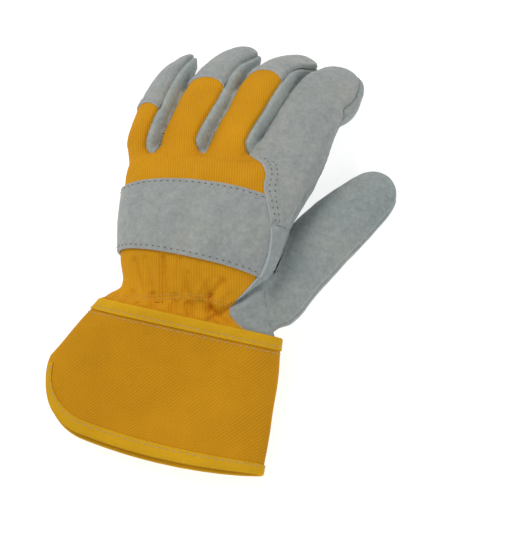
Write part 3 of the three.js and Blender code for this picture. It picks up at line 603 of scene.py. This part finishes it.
# From one point to another on the back, the height (a hollow is negative) and half the width
FOLDS = table("x0 y0 x1 y1 height width", [
    [-44, -8, -35.6, -20.5, -1.4, 1.7],
    [-38, -6, -31, -19, -1.1, 1.5],
    [-28, -4, -21, -25, -2.1, 1.5],
    [-18.6, -3, -15, -19.5, -1.3, 1.8],
    [-11.4, -9, -10.5, -21, -1.3, 1.6],
    [-0.5, -8, -5, -20, 1.1, 1.9],
    [9, -8, 3.6, -16.5, -1.4, 1.7],
    [3.6, -16.5, 5.5, -22, -1.6, 1.7],
    [5.5, -22, 19, -27, -1.9, 1.6],
    [13, -9, 8.5, -18, 0.8, 2.4],
    [-7.5, -23, -2, -31, -2.1, 1.6],
    [-2, -31, 10, -34, -1.6, 1.6],
    [0, -20, 13, -27, -1.6, 1.3],
    [13, -27, 25, -31, -1.4, 1.4],
    [-28, -23, -24, -33, -1.3, 1.6],
    [-40, -24, -42, -36, -1.1, 1.8],
    [-15, -21, -14, -33, -1.1, 1.6],
    [-31, 30, -28.5, 8, 1.5, 4.5],
    [-45, 29, -41, 8, 0.9, 4],
    [1, 24, 3.5, 7, -2.1, 4.5],
    [10, 36, 14, 18, 1.2, 4],
    [-14, 34, -15, 10, -0.9, 5],
    [34, 112, 26.5, 62, -1, 3],
    [38.5, 108, 31.5, 62, 0.8, 2.6],
])


def lumps(points, name):
    """Smooth uneven heights, with features of a size in millimetres."""
    height, size, seed = LUMPS[name]
    shift = seed * Vector((31.7, 17.3, 7.1))
    return height * np.array([noise.noise(Vector(point) / size + shift) for point in points])


def folds(points, rows):
    """The height of all the folds together, each fading away from its line."""
    starts, ends = columns_of(rows, "x0 y0"), columns_of(rows, "x1 y1")
    _, gap = from_steps(points[:, :2], starts, ends - starts)
    return (rows["height"] * np.exp(-(np.linalg.norm(gap, axis=-1) / rows["width"]) ** 2)).sum(1)


above_palm = smooth(-skin["on_palm"], *BACK_FADE)
on_back = above_palm * smooth(skin["on_hand"], *HAND_FADE)
elastic = np.exp(-(left_of(SHIRRING, points) / SHIRRING_REACH) ** 2)
gathers = np.sin(np.pi * GATHERS["folds"] / 2 * (skin["hand_across"] + lumps(points, "gathers")))
gathers = 2 * np.sqrt(gathers ** 2 + GATHERS["rounding"]) - GATHERS["level"]
relief = on_back * (folds(points, FOLDS)
                    + elastic * GATHERS["depth"] * gathers * smooth(skin["in_cloth"], *HAND_FADE))
relief = relief + lumps(points, "hand") + (1 - TAUT * elastic) * lumps(points, "leather")
wedge = skin["on_thumb_top"]
from_seam = wedge / np.where(wedge > 0, WEDGE_SEAM["below"], WEDGE_SEAM["above"])
relief -= WEDGE_SEAM["depth"] * np.exp(-from_seam ** 2) * above_palm
skin["relief"] = relief * (1 - smooth(skin["in_cuff"], *CUFF_FADE))

# Palm. One large piece of split cowhide with its grey suede side out, over the palm and the palm
# side of every finger. Its seams are sewn inside out, so its edges sink into them.

SEAM_GAP = 0.08  # kept from a seam by the panels on both sides
LEATHER = 1.5
SEAM_DEPTH = 1.3
SEAM_WIDTH = 1.35
HOLLOW = {"depth": 0.3, "width": 3.6}  # wider, beside the seam
PUCKER = {"share": 0.45, "along": 1.15, "across": 0.6}  # of the hollow, where thread draws it in
RAW_ROUND = 0.5  # a raw edge is rounded over this width
RAW_DROP = 0.45  # and by this height
SUEDE_PALM = (0.3, 0.34, 0.34, 1)
WARMING = (1.04, 1.01, 0.95, 1)  # of the clouds in the suede
RAW_EDGE_SHADE = (0.42, 0.46, 0.47, 1)
UNSEAMED = 99.0  # the distance from a seam that a panel doesn't have
THINNEST = 0.35  # of a panel at its edges
SHARP = math.radians(55)  # steeper edges aren't shaded smooth


def seams(names, gap=SEAM_GAP):
    """The distance to keep from each of some seams."""
    return dict.fromkeys(names.split(), gap)


def side(sheet, name):
    """A seam's distance at each point, or its opposite where the name starts with a minus."""
    return -sheet[name[1:]] if name.startswith("-") else sheet[name]


def crossings(triangles, values):
    """Where the line of zero values crosses the edges of triangles: the edges' two ends, the share
    of the way between them, and each cut triangle as its lone corner, the other two, and the
    numbers of the crossings on both sides of the lone corner."""
    above = values[triangles] >= 0
    count = above.sum(1)
    cut = (count == 1) | (count == 2)
    above, mixed = above[cut], triangles[cut]
    rows = np.arange(len(mixed))
    k = (above == (count[cut] == 1)[:, None]).argmax(1)
    a, b, c = (mixed[rows, (k + turn) % 3] for turn in range(3))
    pairs = np.sort(np.concatenate([np.stack([a, b], 1), np.stack([a, c], 1)]), axis=1)
    edges, number = np.unique(pairs, axis=0, return_inverse=True)
    number = number.reshape(2, -1)
    start, end = edges.T
    share = np.clip(values[start] / (values[start] - values[end]), 0, 1)
    return start, end, share, (a, b, c, number[0], number[1])


def split(sheet, values):
    """A sheet cut along the line of zero values: its points with the new ones on that line, the
    triangles above it and the triangles below it."""
    triangles = sheet["triangles"]
    start, end, share, (a, b, c, ab, ac) = crossings(triangles, values)
    points = {}
    for name, value in sheet.items():
        if name != "triangles":
            f = share[:, None] if value.ndim > 1 else share
            points[name] = np.concatenate([value, lerp(value[start], value[end], f)])
    ab, ac = ab + len(values), ac + len(values)
    lone = np.stack([a, ab, ac], 1)
    rest = np.concatenate([np.stack([ab, b, c], 1), np.stack([ab, c, ac], 1)])
    lone_above = values[a] >= 0
    rest_above = np.tile(~lone_above, 2)
    whole = (values[triangles] >= 0).sum(1)
    above = np.concatenate([triangles[whole == 3], lone[lone_above], rest[rest_above]])
    below = np.concatenate([triangles[whole == 0], lone[~lone_above], rest[~rest_above]])
    return points, above, below


def compact(sheet):
    used, numbers = np.unique(sheet["triangles"], return_inverse=True)
    kept = {name: value[used] for name, value in sheet.items() if name != "triangles"}
    return {**kept, "triangles": numbers.reshape(-1, 3)}


def scored(sheet, values):
    """A sheet with a row of points added along the line of zero values."""
    points, above, below = split(sheet, values)
    return {**points, "triangles": np.concatenate([above, below])}


def parts(sheet):
    """The connected parts of a sheet, largest first."""
    edges = directed_edges(sheet["triangles"])
    label = np.arange(len(sheet["points"]))
    while True:
        lower = label.copy()
        np.minimum.at(lower, edges[:, 0], label[edges[:, 1]])
        np.minimum.at(lower, edges[:, 1], label[edges[:, 0]])
        lower = lower[lower]
        if (lower == label).all():
            break
        label = lower
    owner = label[sheet["triangles"][:, 0]]
    names, sizes = np.unique(owner, return_counts=True)
    order = names[np.argsort(-sizes, kind="stable")]
    return [compact({**sheet, "triangles": sheet["triangles"][owner == name]}) for name in order]


def cut(sheet, turned=(), raw=()):
    """The parts of a sheet inside some seams, each given with the distance kept from it. The
    seams are either turned in or left as raw edges, and the parts hold the distance to each."""
    turned, raw = dict(turned), dict(raw)
    piece = dict(sheet)
    for kind, sides in (("turned", turned), ("raw", raw)):
        far = np.full(len(sheet["points"]), UNSEAMED)
        piece[kind] = np.min([far, *(side(sheet, name) - kept for name, kept in sides.items())], axis=0)
    for name, kept in {**turned, **raw}.items():
        points, above, _ = split(piece, side(piece, name) - kept)
        piece = {**points, "triangles": above}
    if raw:
        piece = scored(piece, piece["raw"] - RAW_ROUND)
    return parts(piece)


def outer_face(sheet):
    """The height of a panel's outer face: down into the turned seams, with a rounded raw edge."""
    turned = np.maximum(sheet["turned"], 0)
    waves = np.sin(sheet["lengthwise"] * PUCKER["along"] + sheet["across"] * PUCKER["across"])
    hollow = HOLLOW["depth"] * (1 + PUCKER["share"] * waves) * np.exp(-(turned / HOLLOW["width"]) ** 2)
    groove = SEAM_DEPTH * np.exp(-(turned / SEAM_WIDTH) ** 2) + hollow
    edge = RAW_DROP * (1 - np.clip(sheet["raw"] / RAW_ROUND, 0, 1)) ** 2
    return sheet["relief"] - groove - edge


def thick(sheet, outer, inner):
    """A closed skin round a sheet, with its two faces at heights along the outward directions."""
    triangles = sheet["triangles"]
    count = len(sheet["points"])
    points = np.concatenate([sheet["points"] + sheet["normals"] * height[:, None]
                             for height in (outer, inner)])
    edges = directed_edges(triangles)
    code = edges[:, 0] * count + edges[:, 1]
    rim = edges[~np.isin(code, edges[:, 1] * count + edges[:, 0])]
    a, b = rim.T
    walls = [np.stack([b, a, a + count], 1), np.stack([b, a + count, b + count], 1)]
    return points, np.concatenate([triangles, triangles[:, ::-1] + count, *walls])


def panel(node, sheet, outer, inner, finish):
    """A sewn piece that stands for a solid. It carries how far across and along its cloth or hide
    each point is, and how far from a raw edge. Gives the sheet back with its outer face."""
    points, triangles = thick(sheet, outer, np.minimum(inner, outer - THINNEST))
    points[:, 2] = np.maximum(points[:, 2], ORIGIN[2])
    made = object_of(node + "_sewn", (points - ORIGIN) * MM, triangles)
    grain = np.tile(np.stack([sheet["across"], sheet["lengthwise"], sheet["raw"]], 1), (2, 1))[triangles]
    if "girth" in sheet:
        girth = np.tile(sheet["girth"], 2)[triangles]
        grain[..., 0] += np.where(grain[..., 0] < grain[..., :1].max(1) - girth / 2, girth, 0)
    attribute = made.data.attributes.new("grain", "FLOAT_VECTOR", "CORNER")
    attribute.data.foreach_set("vector", grain.astype(np.float32).ravel())
    made.data.shade_smooth()
    made.data.set_sharp_from_angle(angle=SHARP)
    made.data.materials.append(finish)
    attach(made, "root")
    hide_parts(node)
    return {**sheet, "face": points[:len(sheet["points"])]}


def sewn(node, sheet, thickness, finish, lift=0.0):
    """A panel of one thickness, lifted from the skin, with its edges turned in or rounded."""
    inner = sheet["relief"] + lift - thickness
    return panel(node, sheet, outer_face(sheet) + lift, inner, finish)


class Wire:
    """A socket of a material, with arithmetic that adds Math nodes."""

    def __init__(self, socket):
        self.socket = socket

    def node(self, kind, settings, values, output=0):
        """Adds a node: its settings first, then the values or links of its sockets."""
        tree = self.socket.id_data
        made = tree.nodes.new(kind)
        for name, value in settings.items():
            setattr(made, name, value)
        for name, value in values.items():
            if isinstance(value, Wire):
                tree.links.new(value.socket, made.inputs[name])
            else:
                made.inputs[name].default_value = value
        return Wire(made.outputs[output])

    def math(self, operation, *values):
        return self.node("ShaderNodeMath", {"operation": operation}, dict(enumerate(values)))

    def __add__(self, other):
        return self.math("ADD", self, other)

    def __sub__(self, other):
        return self.math("SUBTRACT", self, other)

    def __rsub__(self, other):
        return self.math("SUBTRACT", other, self)

    def __mul__(self, other):
        return self.math("MULTIPLY", self, other)

    def __truediv__(self, other):
        return self.math("DIVIDE", self, other)

    __radd__ = __add__
    __rmul__ = __mul__

    def sine(self):
        return self.math("SINE", self)

    def between(self, low, high):
        """0 below low and 1 above high."""
        settings = {"interpolation_type": "SMOOTHSTEP"}
        return self.node("ShaderNodeMapRange", settings, {0: self, 1: low, 2: high})

    def noise(self, scale, detail=2.0, roughness=0.5):
        """Uneven spots from 0 to 1 over this place, with scale of them to a metre."""
        values = {"Vector": self, "Scale": scale, "Detail": detail, "Roughness": roughness}
        return self.node("ShaderNodeTexNoise", {}, values)

    def mixed(self, low, high):
        """A colour between two, by this value."""
        return self.node("ShaderNodeMix", {"data_type": "RGBA"}, {0: self, 6: low, 7: high}, 2)

    def lit(self, amount):
        """This colour times an amount."""
        return self.node("ShaderNodeVectorMath", {"operation": "SCALE"}, {0: self, "Scale": amount})


def finish_of(name, **constants):
    """A new material with its shader, the place on the object and the grain of the panel."""
    made = bpy.data.materials.new(name)
    made.use_nodes = True
    tree = made.node_tree
    shader = tree.nodes["Principled BSDF"]
    for key, value in constants.items():
        shader.inputs[key.replace("_", " ")].default_value = value
    place = Wire(tree.nodes.new("ShaderNodeTexCoord").outputs["Object"])
    grain = place.node("ShaderNodeAttribute", {"attribute_name": "grain"}, {}, "Vector")
    return made, shader, place, grain


def coloured(shader, colour, height, strength, distance):
    """Gives a shader its colour and the relief of its surface."""
    settings = {"Strength": strength, "Distance": distance, "Height": height}
    bump = height.node("ShaderNodeBump", {}, settings)
    for name, value in (("Base Color", colour), ("Normal", bump)):
        shader.id_data.links.new(value.socket, shader.inputs[name])


def suede(name, shade):
    """Split leather, suede side out: cloudy, with short nap and a paler raw edge."""
    made, shader, place, grain = finish_of(name, Roughness=0.93, Sheen_Weight=0.25, Sheen_Roughness=0.6,
                                           Specular_IOR_Level=0.2)
    from_edge = grain.node("ShaderNodeSeparateXYZ", {}, {0: grain}, 2)
    clouds = place.noise(38, 2)
    mottle = place.noise(210, 4, 0.62)
    fleck = place.noise(480, 3, 0.65)
    nap = place.noise(1500, 2, 0.6)
    light = 0.26 + clouds * 0.28 + mottle * 0.48 + fleck * 0.6 + nap * 0.16
    warmer = tuple(c * f for c, f in zip(shade, WARMING))
    warm = clouds.between(0.35, 0.7).mixed(shade, warmer)
    edge = 1 - (from_edge + nap * 0.4).between(0.35, 0.95)
    colour = edge.mixed(warm.lit(light), RAW_EDGE_SHADE)
    height = mottle * 0.5 + fleck * 0.5 + nap * 0.3
    coloured(shader, colour, height, 0.8, 0.0009)
    return made


palm_suede = suede("palm_suede", SUEDE_PALM)
points, above, _ = split(skin, skin["points"][:, 1] - WRIST_END)
skin = compact({**points, "triangles": above})
palm = cut(skin, turned=seams("on_hand on_palm -on_thumb_top"))[0]
sewn("palm", palm, LEATHER, palm_suede)

# Back. Orange-yellow cotton drill, ribbed along the hand, covers the back of the hand and three
# fingers. Its seams are turned in, and it runs on under the leather pieces sewn over it.

CLOTH = 1.0
TUCK = 3.0  # how far the cloth reaches under a leather edge
TUCKED_DOWN = 1.2
TUCK_SLOPE = (-1.6, -0.4)
DRILL_SHADE = (0.7, 0.33, 0.013, 1)
DRILL_DARK = (0.61, 0.25, 0.009, 1)
RIB = 1.5  # from one rib to the next
YARN = 0.9  # from one crossing yarn to the next
YARN_SLANT = 5


def woven(name, ribs, shade, dark, rib_depth, worn):
    """Ribbed cotton. ribs gives the count of ribs passed at a place of the panel."""
    made, shader, place, grain = finish_of(name, Roughness=0.9, Specular_IOR_Level=0.08)
    axes = [grain.node("ShaderNodeSeparateXYZ", {}, {0: grain}, k) for k in range(2)]
    drift = place.noise(160, 2)
    count = ribs(*axes) + drift * 0.35
    rib = 0.5 + 0.5 * (count * (2 * math.pi)).sine()
    crossing = axes[1] * (2 * math.pi / YARN) + axes[0] * (2 * math.pi / YARN_SLANT)
    yarn = 0.5 + 0.5 * crossing.sine()
    cloud = place.noise(30, 3, 0.6)
    fleck = place.noise(900, 2, 0.7)
    light = 0.8 + cloud * 0.3 + fleck * 0.16 - yarn * 0.04
    tone = (rib * 0.75 + cloud * worn).between(0, 1).mixed(dark, shade)
    height = rib * rib_depth + yarn * 0.15 + fleck * 0.25
    coloured(shader, tone.lit(light), height, 0.6, 0.0005)
    return made


drill = woven("drill", lambda across, lengthwise: across / RIB, DRILL_SHADE, DRILL_DARK, 0.42, 0.55)
back_cloth = cut(skin, turned=seams("-on_palm -on_side on_hand"),
                 raw={"in_cloth": -TUCK, "-on_tip": -TUCK})[0]
tucked = TUCKED_DOWN * (1 - smooth(back_cloth["in_cloth"], *TUCK_SLOPE))
back_cloth = sewn("back_cloth", back_cloth, CLOTH, drill, -tucked)

# Strips between the fingers. Three narrow strips of thinner leather, each folded at a crotch and
# sewn between the back and the palm side of two fingers.

STRIP = 1.0
# A paler copy of the grey suede: painted light, lifting the strips out of the shade between the fingers
SUEDE_SIDE_PAINTED_LIGHT = (0.35, 0.4, 0.395, 1)


def three_of(sheets):
    """The three largest sheets, from the little finger's side to the thumb's."""
    return sorted(sheets[:3], key=lambda sheet: sheet["points"][:, 0].mean())


side_suede = suede("side_suede", SUEDE_SIDE_PAINTED_LIGHT)
strips = three_of(cut(skin, turned=seams("-on_palm on_side on_hand")))
for name, strip in zip(("little_ring", "ring_middle", "middle_index"), strips):
    sewn("fourchette_" + name, strip, STRIP, side_suede)

# Fingertips. Grey leather caps on the backs of three fingers. Each laps over the end of the
# cloth, with its raw edge showing.

CAP_LAP = 1.0
CAP_FADE = (TUCK, 2.5 * TUCK)  # the lap comes down over this stretch
CAP_LEATHER = 1.3
LEATHER_STITCH = (1.8, 3.8)  # length of a stitch and of a step in grey thread
THREAD = 0.27  # half its thickness
THREAD_DARK = 0.8
STITCH = {"rise": 0.5, "sink": 0.3, "end": 0.08, "taper": 0.4, "rings": 7, "sides": 6}
GREY_THREAD = (0.14, 0.14, 0.13, 1)
SUEDE_GREY = (0.32, 0.345, 0.34, 1)


def lines_on(sheet, values):
    """The lines over a panel's outer face where values are zero, as points and outward directions."""
    start, end, share, (*_, ab, ac) = crossings(sheet["triangles"], values)
    face = lerp(sheet["face"][start], sheet["face"][end], share[:, None])
    normals = unit(lerp(sheet["normals"][start], sheet["normals"][end], share[:, None]))
    near = [[] for _ in face]
    for a, b in zip(ab, ac):
        near[a].append(b)
        near[b].append(a)
    seen = set()
    for first in sorted(range(len(face)), key=lambda k: len(near[k])):
        line = []
        following = [first]
        while following and following[0] not in seen:
            line.append(following[0])
            seen.add(following[0])
            following = [k for k in near[following[0]] if k not in seen]
        if len(line) > 2:
            yield face[line], normals[line]


def stitches(name, sheet, rows, finish, length, step):
    """Rows of stitches over a panel, each a short thread that dives into it at both ends."""
    rings, sides = STITCH["rings"], STITCH["sides"]
    v = np.linspace(0, 1, rings)
    turn = np.linspace(0, 2 * math.pi, sides, endpoint=False)
    solids = []
    for values in rows:
        for face, normals in lines_on(sheet, values):
            travel = np.concatenate([[0], np.cumsum(np.linalg.norm(np.diff(face, axis=0), axis=1))])
            first = np.arange(step / 2, travel[-1] - length, step)
            at = first[:, None] + length * v
            centre, up = (np.stack([np.interp(at, travel, value[:, k]) for k in range(3)], -1)
                          for value in (face, normals))
            centre = centre + up * (STITCH["rise"] * np.sin(math.pi * v) - STITCH["sink"])[:, None]
            ahead = unit(np.gradient(centre, axis=1))
            beside = unit(np.cross(ahead, up))
            ends = lerp(STITCH["end"], 1 - STITCH["end"], v)
            radius = (THREAD * np.sin(math.pi * ends) ** STITCH["taper"])[:, None, None]
            ring = centre[:, :, None] + radius * (
                beside[:, :, None] * np.cos(turn)[:, None] + up[:, :, None] * np.sin(turn)[:, None])
            solids.append(ring.reshape(-1, rings * sides, 3))
    solids = np.concatenate(solids)
    a = (np.arange(rings - 1)[:, None] * sides + np.arange(sides)).ravel()
    d = (np.arange(rings - 1)[:, None] * sides + (np.arange(sides) + 1) % sides).ravel()
    fan = np.stack([np.zeros(sides - 2, int), np.arange(1, sides - 1), np.arange(2, sides)], 1)
    faces = np.concatenate([np.stack([a, d, d + sides], 1), np.stack([a, d + sides, a + sides], 1),
                            fan[:, ::-1], fan + (rings - 1) * sides])
    faces = (np.arange(len(solids))[:, None, None] * rings * sides + faces).reshape(-1, 3)
    points = np.maximum(solids.reshape(-1, 3), [-np.inf, -np.inf, ORIGIN[2]])
    made = object_of(name, (points - ORIGIN) * MM, faces)
    made.data.shade_smooth()
    made.data.materials.append(finish)
    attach(made, "root")


def thread(name, shade):
    """Twisted cotton sewing thread."""
    made, shader, place, _ = finish_of(name, Roughness=0.7, Sheen_Weight=0.2)
    strand = place.noise(2500, 2)
    dark = tuple(THREAD_DARK * c for c in shade[:3]) + (1,)
    coloured(shader, strand.mixed(dark, shade), strand, 0.4, 0.0002)
    return made


grey_thread = thread("grey_thread", GREY_THREAD)
grey_suede = suede("grey_suede", SUEDE_GREY)
tips = three_of(cut(skin, turned=seams("-on_palm -on_side"), raw={"on_tip": 0, "in_cloth": 0}))
for name, tip in zip(("tip_little", "tip_ring", "tip_middle"), tips):
    lap = CAP_LAP * (1 - smooth(tip["raw"], *CAP_FADE))
    sewn(name, tip, CAP_LEATHER, grey_suede, lap)

# Strap. A band of grey leather across the knuckles, laid on the cloth and sewn along both edges.
# Its end towards the thumb passes under the index leather.

STRAP_STITCH = 2.1  # from its edges

strap_edges = {"below_strap_top": 0, "above_strap_low": 0, "in_cloth": -TUCK, "on_hand": SEAM_GAP}
strap = cut(skin, turned=seams("-on_palm"), raw=strap_edges)[0]
strap = sewn("knuckle_strap", strap, LEATHER, grey_suede, STRAP["lift"] + LEATHER)
strap_rows = [strap["below_strap_top"] - STRAP_STITCH, strap["above_strap_low"] - STRAP_STITCH]
stitches("strap_stitches", strap, strap_rows, grey_thread, *LEATHER_STITCH)

# Shirring. Two rows of elastic thread that draw in the wrist, sewn through the back cloth from
# the little finger's side to the index leather.

SHIRRING_ROWS = (-0.9, 0.9)
SHIRRING_END = 0.5  # before the leather's edge
SHIRRING_STITCH = (1.1, 1.9)  # length of a stitch and of a step
SHIRRING_THREAD = (0.75, 0.45, 0.09, 1)

shirring_thread = thread("shirring_thread", SHIRRING_THREAD)
from_row = left_of(SHIRRING, back_cloth["points"])
rows = [np.where(back_cloth["in_cloth"] > SHIRRING_END, from_row - place, UNSEAMED)
        for place in SHIRRING_ROWS]
stitches("shirring_stitches", back_cloth, rows, shirring_thread, *SHIRRING_STITCH)

# Index leather. The index finger's back is a grey leather piece that runs down beside the cloth
# to a wedge below the knuckle. Their raw edge laps over the cloth and the strap's end.

LAP = 1.4
LAP_FADE = (TUCK, 3.5 * TUCK)
INDEX_STITCHES = (2.8, 5.4)  # rows of stitches from the raw edge
INDEX_STITCH_END = 70
STITCH_SPREAD = {"cuff": 0.85, "finger": 1.25, "between": (30, 62)}  # of the rows towards each end
STRAP_SLOPE = 1.5
CUFF_SLOPE = (-7, -1)
INNER_GAP = 0.1  # of a seam between two leather pieces


def lapped(sheet):
    """The lift of leather that laps over the cloth, and over the strap where it passes under."""
    on_strap = np.prod([smooth(sheet[name], -STRAP_SLOPE, STRAP_SLOPE)
                        for name in ("below_strap_top", "above_strap_low")], axis=0)
    beside = (1 - smooth(sheet["raw"], *LAP_FADE)) * (1 - smooth(sheet["in_cuff"], *CUFF_SLOPE))
    return (LAP + (LEATHER + STRAP["lift"]) * on_strap) * beside


for name, outer, inner, finish in (
    ("index_back", "on_hand -on_palm -on_side", "-on_thumb_top above_gusset", grey_suede),
    ("side_gusset", "on_hand -on_palm", "-on_thumb_top -above_gusset", palm_suede),
):
    piece = cut(skin, turned={**seams(outer), **seams(inner, INNER_GAP)}, raw={"-in_cloth": 0})[0]
    piece = sewn(name, piece, LEATHER, finish, lapped(piece))
    if name == "index_back":
        points, low, _ = split(piece, INDEX_STITCH_END - piece["lengthwise"])
        stitched = {**points, "triangles": low}
        spread = lerp(STITCH_SPREAD["cuff"], STITCH_SPREAD["finger"],
                      smooth(stitched["lengthwise"], *STITCH_SPREAD["between"]))
        rows = [stitched["raw"] - place * spread for place in INDEX_STITCHES]
        stitches("index_stitches", stitched, rows, grey_thread, *LEATHER_STITCH)

# Thumb. A top and an underside of palm leather, sewn together along both sides. The top runs on
# over the side of the hand below the wedge and down into the cuff.

thumb_top = cut(skin, turned=seams("on_thumb_top", INNER_GAP), raw={"-in_cloth": 0})[0]
sewn("thumb_top", thumb_top, LEATHER, palm_suede, lapped(thumb_top))
underside = cut(skin, turned=seams("-on_hand under_thumb -on_thumb_top"))[0]
sewn("thumb_underside", underside, LEATHER, palm_suede)

# Cuff. A wide tube of golden cotton twill, stiffened and folded flat at both sides. Its open edge
# is cut with rounded corners.

CUFF_WALL = 1.4
MOUTH = {"y": -105.8, "bow": 0.0016, "bow_at": -20, "left": -73, "corner": 31}
CUFF_REST = 2.1  # height of the lower layer over the table
TAB_REST = 4  # and over the tab
TAB_ROOM = {"y": (-84, -70), "x": (4, 14)}  # where it comes down beside the tab
TWILL_SHADE = (0.63, 0.293, 0.011, 1)
TWILL_DARK = (0.54, 0.23, 0.008, 1)
TWILL_PITCH = 1.35
TWILL_ANGLE = math.radians(42)
CUFF_STITCH = (2.7, 3.9)  # length of a stitch and of a step in pale thread
CUFF_AROUND = 240


def cornered(a, b, radius):
    """How far inside two edges that meet in a rounded corner, from the distance to each."""
    corner = radius - np.hypot(radius - a, radius - b)
    return np.where((a < radius) & (b < radius), corner, np.minimum(a, b))


def inside_mouth(points):
    x, y, _ = points.T
    from_mouth = y - MOUTH["y"] - MOUTH["bow"] * (x - MOUTH["bow_at"]) ** 2
    return cornered(from_mouth, x - MOUTH["left"], MOUTH["corner"])


def cuff_sheet():
    points, triangles = tube(cuff_stations, CUFF_AROUND)
    x, y, _ = points.T
    over_tab = smooth(y, *TAB_ROOM["y"]) * (1 - smooth(x, *TAB_ROOM["x"]))
    points[:, 2] = np.maximum(points[:, 2], lerp(CUFF_REST, TAB_REST, over_tab))
    rings = points.reshape(-1, CUFF_AROUND, 3)
    steps = np.linalg.norm(np.roll(rings, -1, axis=1) - rings, axis=-1)
    arc = np.cumsum(steps, axis=1) - steps
    girth = np.repeat(steps.sum(1), CUFF_AROUND)
    from_under = (arc - arc[:, [3 * CUFF_AROUND // 4]]).ravel() % girth
    triangles = triangles[:, ::-1]
    return {"triangles": triangles, "points": points, "normals": normals_of(points, triangles),
            "in_cuff": below_cuff_top(points), "in_mouth": inside_mouth(points),
            "across": from_under, "girth": girth,
            "lengthwise": np.repeat(cuff_stations["s"], CUFF_AROUND),
            "relief": lumps(points, "cuff") + lumps(points, "twill")}


twill = woven("twill", lambda across, lengthwise: (across * (math.sin(TWILL_ANGLE) / TWILL_PITCH)
                                                   - lengthwise * (math.cos(TWILL_ANGLE) / TWILL_PITCH)),
              TWILL_SHADE, TWILL_DARK, 0.35, 0.6)
cuff_tube = cuff_sheet()
cuff = cut(cuff_tube, raw={"in_cuff": 0, "in_mouth": 0})[0]
cuff = panel("cuff", cuff, cuff["relief"] + CUFF_WALL / 2, cuff["relief"] - CUFF_WALL / 2, twill)

# Binding. Yellow woven tape folded over both edges of the cuff and sewn through. The tape of the
# open edge runs round both flaps and narrows to its ends at the notch.

TAPE_REACH = 6
TAPE_OVER = 1.2
TAPE_HALF = 1.25
TAPE_THICK = 0.6
TAPE_WEAVE = 0.8
TAPE_GROOVE = {"depth": 0.28, "width": 0.55}  # along its stitches
TAPE_FOLD_ROWS = (0.15, 0.45, 0.85)
TAPE_STITCH = 5.2
CUFF_STITCH_AT = 7.9
NOTCH_END = -73
TAPE_TAPER = 28  # over this length
TAPE_NARROWING = 1.6
PALE_THREAD = (0.6, 0.42, 0.24, 1)
TAPE_SHADE = (0.7, 0.38, 0.014, 1)
TAPE_DARK = (0.6, 0.3, 0.01, 1)


def folded(sheet, from_fold):
    """A sheet laid double, joined along the line where its distance from the fold is zero."""
    inward = 1 - np.clip(from_fold / TAPE_HALF, 0, 1)
    height = (TAPE_HALF * np.sqrt(1 - inward ** 2))[:, None] * sheet["normals"]
    count = len(from_fold)
    shared = from_fold < 1e-6
    low = np.where(shared, np.arange(count), np.arange(count) + count)
    double = {name: np.tile(value, (2,) + (1,) * (value.ndim - 1)) for name, value in sheet.items()
              if name != "triangles"}
    base = sheet["points"] + sheet["normals"] * sheet["relief"][:, None]
    double["points"] = np.concatenate([base + height, base - height])
    double["triangles"] = np.concatenate([sheet["triangles"], low[sheet["triangles"]][:, ::-1]])
    double = compact(double)
    double["normals"] = normals_of(double["points"], double["triangles"])
    return double


def binding(name, edge, ends):
    band = cut(cuff_tube, raw={edge: -TAPE_OVER, "-" + edge: -TAPE_REACH, **ends})[0]
    for row in TAPE_FOLD_ROWS:
        band = scored(band, band[edge] + TAPE_OVER - row)
    band = scored(band, band[edge] - TAPE_STITCH + TAPE_OVER)
    band["across"] = band[edge]
    tape_sheet = folded(band, band[edge] + TAPE_OVER)
    from_stitches = tape_sheet[edge] - TAPE_STITCH + TAPE_OVER
    groove = TAPE_GROOVE["depth"] * np.exp(-(from_stitches / TAPE_GROOVE["width"]) ** 2)
    outer = TAPE_THICK / 2 + lumps(tape_sheet["points"], "tape") - groove
    del tape_sheet["girth"]
    tape_sheet = panel(name, tape_sheet, outer, np.full(len(outer), -TAPE_THICK / 2), tape)
    rows = [tape_sheet[edge] - TAPE_STITCH + TAPE_OVER]
    stitches(name + "_stitches", tape_sheet, rows, pale_thread, *CUFF_STITCH)


pale_thread = thread("pale_thread", PALE_THREAD)
tape = woven("tape", lambda across, lengthwise: across / TAPE_WEAVE, TAPE_SHADE, TAPE_DARK, 0.25, 1.2)
stitches("cuff_top_stitches", cuff, [cuff["in_cuff"] - CUFF_STITCH_AT], pale_thread, *CUFF_STITCH)
cuff_tube["past_notch"] = NOTCH_END - cuff_tube["points"][:, 1]
at_notch = 1 - smooth(cuff_tube["past_notch"], 0, TAPE_TAPER)
cuff_tube["past_fold"] = (cuff_tube["in_mouth"] - TAPE_OVER * at_notch) * (1 + TAPE_NARROWING * at_notch)
binding("cuff_top_binding", "in_cuff", {})
binding("cuff_edge_binding", "past_fold", {"past_notch": 0})

# Tab. A rounded tab of palm leather, sewn over the palm side of the cuff. One row of stitches
# follows its edge, and two more hold it along the cuff's hand-side edge.

TAB_STITCH = 2.2
TAB_CUFF_STITCHES = (5, 8)
TAB = {"left": -46, "right": -3, "top": -14, "bottom": -60, "corner": 15, "lift": 1.9}
UNDERSIDE = 16  # the cuff's lower layer is below this height


def in_tab(points):
    x, y, z = points.T
    sides = np.minimum(x - TAB["left"], TAB["right"] - x)
    edge = cornered(sides, y - TAB["bottom"], TAB["corner"])
    return np.min([edge, TAB["top"] - y, UNDERSIDE - z], axis=0)


cuff_tube["in_tab"] = in_tab(cuff_tube["points"])
tab = cut(cuff_tube, raw={"in_tab": 0})[0]
tab = sewn("cuff_tab", tab, LEATHER, palm_suede, TAB["lift"] + LEATHER)
tab_rows = [tab["in_tab"] - TAB_STITCH, *(tab["in_cuff"] - place for place in TAB_CUFF_STITCHES)]
stitches("tab_stitches", tab, tab_rows, pale_thread, *CUFF_STITCH)
